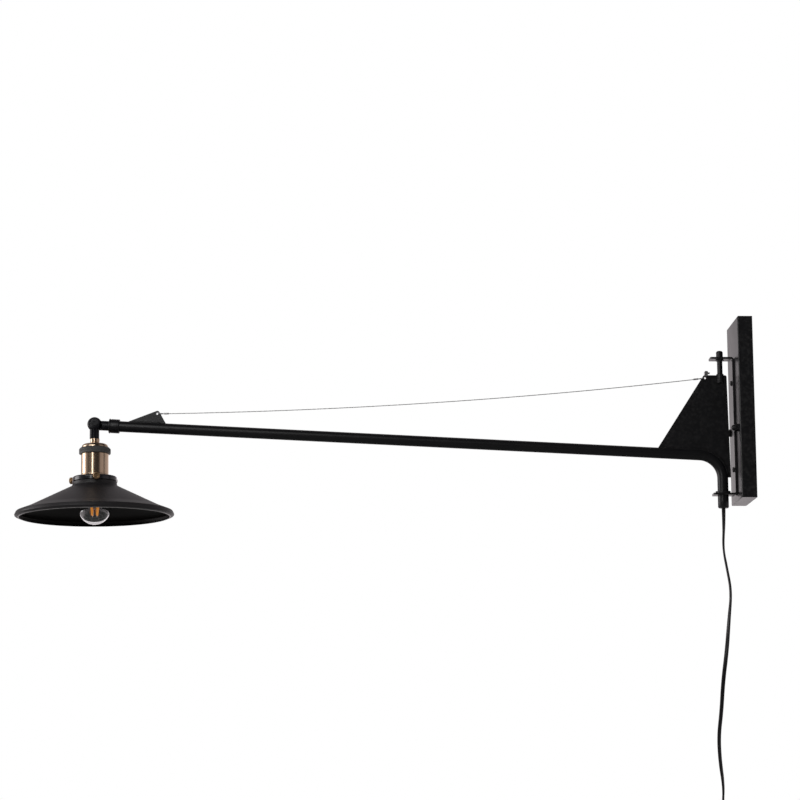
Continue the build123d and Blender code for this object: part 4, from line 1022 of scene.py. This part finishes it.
def cordMaterial(name, look):
    # Smooth soft sheath, a little cloudy, with a trace of dust.
    made, tree, shader = newMaterial(name)
    coat = useGroup(tree, coatSurface, Peel_size=look["peel"], Cloud_size=look["cloud"], Dust=look["dust"])
    base = mixColour(tree, coat["Cloud"], look["dark"], look["light"])
    feed(tree, shader, Base_Color=mixColour(tree, coat["Dust"], base, cordDust),
         Roughness=rangeNode(tree, coat["Cloud"], *look["rough"], *noiseSpan),
         Specular_IOR_Level=look["shine"])
    setBump(tree, shader, coat["Height"], look["bump"], bumpDepth["cord"])
    return made


def tieMaterial(name, look):
    # Woven hook strap: crossed waves as height and colour.
    made, tree, shader = newMaterial(name)
    where = ownPoint(tree)
    x, y, z = addNode(tree, "SeparateXYZ", Vector=where).outputs
    weft, warp = (mathNode(tree, "SINE", times(tree, way, look["threads"]))
                  for way in (mathNode(tree, "ADD", x, y), z))
    weave = rangeNode(tree, times(tree, weft, warp), 0.0, 1.0, -1.0, 1.0)
    fuzz = noiseNode(tree, where, look["fuzz"], 4.0)
    feed(tree, shader, Base_Color=mixColour(tree, weave, look["dark"], look["light"]),
         Roughness=rangeNode(tree, fuzz, *look["rough"]), Sheen_Weight=0.3)
    height = mathNode(tree, "ADD", weave, times(tree, fuzz, look["fuzzHeight"]))
    setBump(tree, shader, height, look["bump"], bumpDepth["tie"])
    return made


headTilt = (0.0, radians(headLean), 0.0)
paints = {
    "black_coat": dict(
        dark=(0.0042, 0.0040, 0.0048), light=(0.0062, 0.0060, 0.0068), rubbed=(0.03, 0.029, 0.029),
        rough=(0.28, 0.32), peel=1400.0, cloud=40.0, dust=0.02, wear=0.35, bump=0.12, shine=0.36),
    "black_gloss": dict(
        dark=(0.005, 0.005, 0.0075), light=(0.008, 0.008, 0.011), rubbed=(0.04, 0.04, 0.042),
        rough=(0.16, 0.22), peel=900.0, cloud=60.0, dust=0.03, wear=0.3, bump=0.15, shine=0.5, coat=0.3),
    "shade_black": dict(
        dark=(0.0085, 0.0072, 0.0080), light=(0.0125, 0.0108, 0.0118), rubbed=(0.05, 0.045, 0.045),
        rough=(0.42, 0.48), peel=1500.0, cloud=14.0, dust=0.03, wear=0.3, bump=0.15, shine=0.42),
    "knuckle_black": dict(
        dark=(0.0042, 0.0040, 0.0052), light=(0.0062, 0.0060, 0.0078), rubbed=(0.03, 0.029, 0.03),
        rough=(0.16, 0.21), peel=1400.0, cloud=60.0, dust=0.02, wear=0.3, bump=0.08, shine=0.15),
    # Darker, less shiny black for the inside of the shade: the darker colour is painted shade inside the
    # shade.
    "shade_inside": dict(
        dark=(0.0035, 0.0028, 0.0025), light=(0.0055, 0.0045, 0.004), rubbed=(0.02, 0.018, 0.016),
        rough=(0.4, 0.5), peel=1500.0, cloud=14.0, dust=0.0, wear=0.2, bump=0.15, shine=0.25),
    # Lighter grey for the shade's turned-in rim: a painted highlight where the rim catches light.
    "shade_edge": dict(
        dark=(0.09, 0.085, 0.085), light=(0.15, 0.14, 0.14), rubbed=(0.3, 0.29, 0.28),
        rough=(0.3, 0.4), peel=1500.0, cloud=90.0, dust=0.0, wear=0.5, bump=0.1, shine=0.5),
    "black_screws": dict(
        dark=(0.012, 0.0115, 0.012), light=(0.024, 0.023, 0.024), rubbed=(0.1, 0.1, 0.1),
        rough=(0.28, 0.38), peel=2500.0, cloud=200.0, dust=0.05, wear=0.6, bump=0.12, shine=0.4),
    "plug": dict(
        dark=(0.010, 0.010, 0.011), light=(0.018, 0.018, 0.019), rubbed=(0.05, 0.05, 0.05),
        rough=(0.45, 0.6), peel=3000.0, cloud=120.0, dust=0.15, wear=0.3, bump=0.5, shine=0.5),
}
metals = {
    "old_brass": dict(dark=(0.66, 0.47, 0.32), light=(0.80, 0.62, 0.45), rubbed=(0.88, 0.72, 0.52),
                      rough=(0.14, 0.2), marks=2600.0, turn=headTilt, wear=0.5, bump=0.04),
    "thumb_brass": dict(dark=(0.36, 0.22, 0.11), light=(0.56, 0.38, 0.22), rubbed=(0.75, 0.56, 0.36),
                        rough=(0.3, 0.4), marks=2600.0, turn=headTilt, wear=0.6, bump=0.08),
    "dark_ring": dict(dark=(0.042, 0.040, 0.038), light=(0.075, 0.071, 0.068), rubbed=(0.2, 0.17, 0.14),
                      rough=(0.42, 0.55), marks=1800.0, turn=headTilt, wear=0.35, bump=0.2, metal=0.35),
    "zinc": dict(dark=(0.38, 0.39, 0.41), light=(0.62, 0.63, 0.64), rubbed=(0.75, 0.75, 0.75),
                 rough=(0.3, 0.45), marks=500.0, wear=0.4, bump=0.2),
    "pin_metal": dict(dark=(0.55, 0.54, 0.5), light=(0.76, 0.75, 0.72), rubbed=(0.85, 0.84, 0.8),
                      rough=(0.16, 0.28), marks=3000.0, wear=0.4, bump=0.1),
    "wire": dict(dark=(0.6, 0.6, 0.6), light=(0.8, 0.8, 0.8), rubbed=(0.9, 0.9, 0.9),
                 rough=(0.45, 0.55), marks=900.0, turn=(0, radians(84), 0), wear=0.5, bump=0.2),
    "bright_steel": dict(dark=(0.5, 0.5, 0.5), light=(0.72, 0.72, 0.71), rubbed=(0.85, 0.85, 0.85),
                         rough=(0.25, 0.4), marks=1500.0, wear=0.5, bump=0.2),
    "bright_brass": dict(dark=(0.5, 0.36, 0.17), light=(0.75, 0.58, 0.3), rubbed=(0.85, 0.7, 0.4),
                         rough=(0.25, 0.35), marks=1500.0, wear=0.4, bump=0.1),
}
grains = {
    "ceramic": dict(dark=(0.74, 0.72, 0.68), light=(0.86, 0.85, 0.82), rough=(0.15, 0.3), grain=700.0,
                    edges=(0.3, 0.7), bump=0.15),
    # The filament's faint glow is painted light: the bulb is not lit.
    "filament": dict(dark=(0.66, 0.2, 0.006), light=(0.9, 0.34, 0.012), rough=(0.4, 0.6), grain=1800.0,
                     edges=(0.35, 0.65), bump=0.4, paintedGlow=0.4),
}
glasses = {
    "glass": dict(tint=(0.97, 0.985, 0.985), rough=(0.0, 0.02), film=150.0, waves=45.0, bump=0.12),
    "stem_glass": dict(tint=(0.92, 0.95, 0.94), rough=(0.02, 0.1), film=150.0, waves=45.0, bump=0.3),
}
cords = {"cord": dict(dark=(0.0045, 0.0045, 0.005), light=(0.0085, 0.0083, 0.0088), rough=(0.3, 0.38),
                      peel=1200.0, cloud=60.0, dust=0.04, bump=0.1, shine=0.38)}
ties = {"tie": dict(dark=(0.008, 0.008, 0.008), light=(0.03, 0.03, 0.031), rough=(0.75, 0.95),
                    threads=7500.0, fuzz=2600.0, fuzzHeight=0.8, bump=0.7)}
materials = {slot: make(slot, look) for make, looks in (
    (paintMaterial, paints), (metalMaterial, metals), (grainMaterial, grains), (glassMaterial, glasses),
    (cordMaterial, cords), (tieMaterial, ties)) for slot, look in looks.items()}

special = {"thumbScrew": "thumb_brass", "knuckle_arm": "knuckle_black", "knuckle_head": "knuckle_black",
           "knuckle_screw": "knuckle_black"}   # finishes within one slot that differ a little
for piece in bpy.data.objects:
    if piece.type != "MESH":
        continue
    slot = piece.get("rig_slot") or slotOf.get(piece.name)
    slot = next((look for start, look in special.items() if piece.name.startswith(start)), slot)
    if slot in materials:
        piece.data.materials.clear()
        piece.data.materials.append(materials[slot])
# The inside of the shade gets painted shade and its turned-in rim a painted highlight, each as a material
# of its own.
for slot in ("shade_inside", "shade_edge"):
    spunShade.data.materials.append(materials[slot])
spunShade.data.polygons.foreach_set("material_index", shadeFinishWithPaintedLight)
print("materials made:", len(materials))


# Lights, backdrop and floor.
studio = {
    "plain": 0.62,         # strength for surfaces that scatter light
    "around": [            # what shiny surfaces see: degrees from the camera's side, brightness
        (-180, 1.0), (-152, 1.0), (-143, 0.2), (-126, 0.25), (-117, 1.0), (-82, 1.0), (-70, 0.33),
        (-57, 0.17), (-48, 0.07), (-26, 0.06), (-18, 0.16), (-11, 0.16), (-3, 0.04), (36, 0.035),
        (45, 0.07), (53, 0.36), (82, 0.42), (89, 0.24), (94, 0.24), (100, 0.36), (112, 0.46), (148, 0.54),
        (158, 1.0), (180, 1.0)],
    "above": [             # the same by degrees up
        (-90, 1.0), (8, 1.0), (14, 0.62), (30, 0.43), (42, 0.40), (60, 0.2), (90, 0.08)],
    "tint": (1.0, 0.925, 0.95),       # colour of what shiny surfaces see
    "lamps": {
        "keyLight": dict(place=(-1.9, -2.4, 1.5), aim=(-0.5, 0, 0), size=(2.6, 1.8), power=22.0),
        "sideStrip": dict(place=(-3.45, 0.35, 0.3), aim=(-0.95, 0, 0), size=(1.4, 2.0), power=20.0),
        "frontStrip": dict(place=(-1.53, -2.53, 0.45), aim=(-0.97, 0, 0), size=(0.3, 1.5), power=5.0),
    },
    "floor": -0.95, "floorReach": [(-2.2, -2.2), (1.2, -2.2), (1.2, 2.2), (-2.2, 2.2)],
    "floorDark": (0.93, 0.93, 0.93), "floorLight": (0.97, 0.97, 0.97),
    "floorCloud": 8.0, "floorToShiny": (0.12, 0.12, 0.12), "floorGlow": 0.32,
}


def buildWorld(k):
    world = bpy.data.worlds.new("studio")
    bpy.context.scene.world = world
    world.use_nodes = True
    tree = world.node_tree
    x, y, z = addNode(tree, "SeparateXYZ", Vector=addNode(tree, "TexCoord").outputs["Generated"]).outputs
    turn = mathNode(tree, "ARCTAN2", x, times(tree, y, -1.0))
    around = rampNode(tree, rangeNode(tree, turn, 0.0, 1.0, -pi, pi),
                      [((d + 180) / 360, v) for d, v in k["around"]])
    above = rampNode(tree, rangeNode(tree, mathNode(tree, "ARCSINE", z), 0.0, 1.0, -pi / 2, pi / 2),
                     [((d + 90) / 180, v) for d, v in k["above"]])
    path = addNode(tree, "LightPath").outputs
    shiny = path["Is Glossy Ray"]
    direct = mathNode(tree, "MAXIMUM", path["Is Camera Ray"], path["Is Transmission Ray"])
    seen = times(tree, shiny, times(tree, around, above))
    plain = times(tree, mathNode(tree, "SUBTRACT", 1.0, shiny), k["plain"])
    feed(tree, tree.nodes["Background"], Color=mixColour(tree, shiny, (1.0, 1.0, 1.0), k["tint"]),
         Strength=mathNode(tree, "MAXIMUM", direct, mathNode(tree, "ADD", seen, plain)))


def areaLight(name, k):
    data = bpy.data.lights.new(name, "AREA")
    data.shape, data.size, data.size_y, data.energy = "RECTANGLE", *k["size"], k["power"]
    lamp = bpy.data.objects.new(name, data)
    lamp.location = k["place"]
    lamp.rotation_euler = (Vector(k["aim"]) - Vector(k["place"])).to_track_quat("-Z", "Y").to_euler()
    lamp.visible_camera = False
    bpy.context.scene.collection.objects.link(lamp)


def studioFloor(k):
    # Pale floor: white to the camera and through glass, darker to shiny surfaces. It keeps the shadow.
    mesh = bpy.data.meshes.new("studioFloor")
    mesh.from_pydata([(x, y, k["floor"]) for x, y in k["floorReach"]], [], [(0, 1, 2, 3)])
    floor = bpy.data.objects.new("studioFloor", mesh)
    bpy.context.scene.collection.objects.link(floor)
    made, tree, shader = newMaterial("paleFloor")
    cloud = noiseNode(tree, ownPoint(tree), k["floorCloud"], 3.0)
    pale = mixColour(tree, cloud, k["floorDark"], k["floorLight"])
    path = addNode(tree, "LightPath").outputs
    seen = mathNode(tree, "MAXIMUM", path["Is Camera Ray"], path["Is Transmission Ray"])
    feed(tree, shader, Base_Color=mixColour(tree, path["Is Glossy Ray"], pale, k["floorToShiny"]),
         Roughness=0.9, Emission_Color=(1, 1, 1, 1), Emission_Strength=times(tree, seen, k["floorGlow"]))
    floor.data.materials.append(made)


buildWorld(studio)
for name, lamp in studio["lamps"].items():
    areaLight(name, lamp)
studioFloor(studio)
print("studio made")
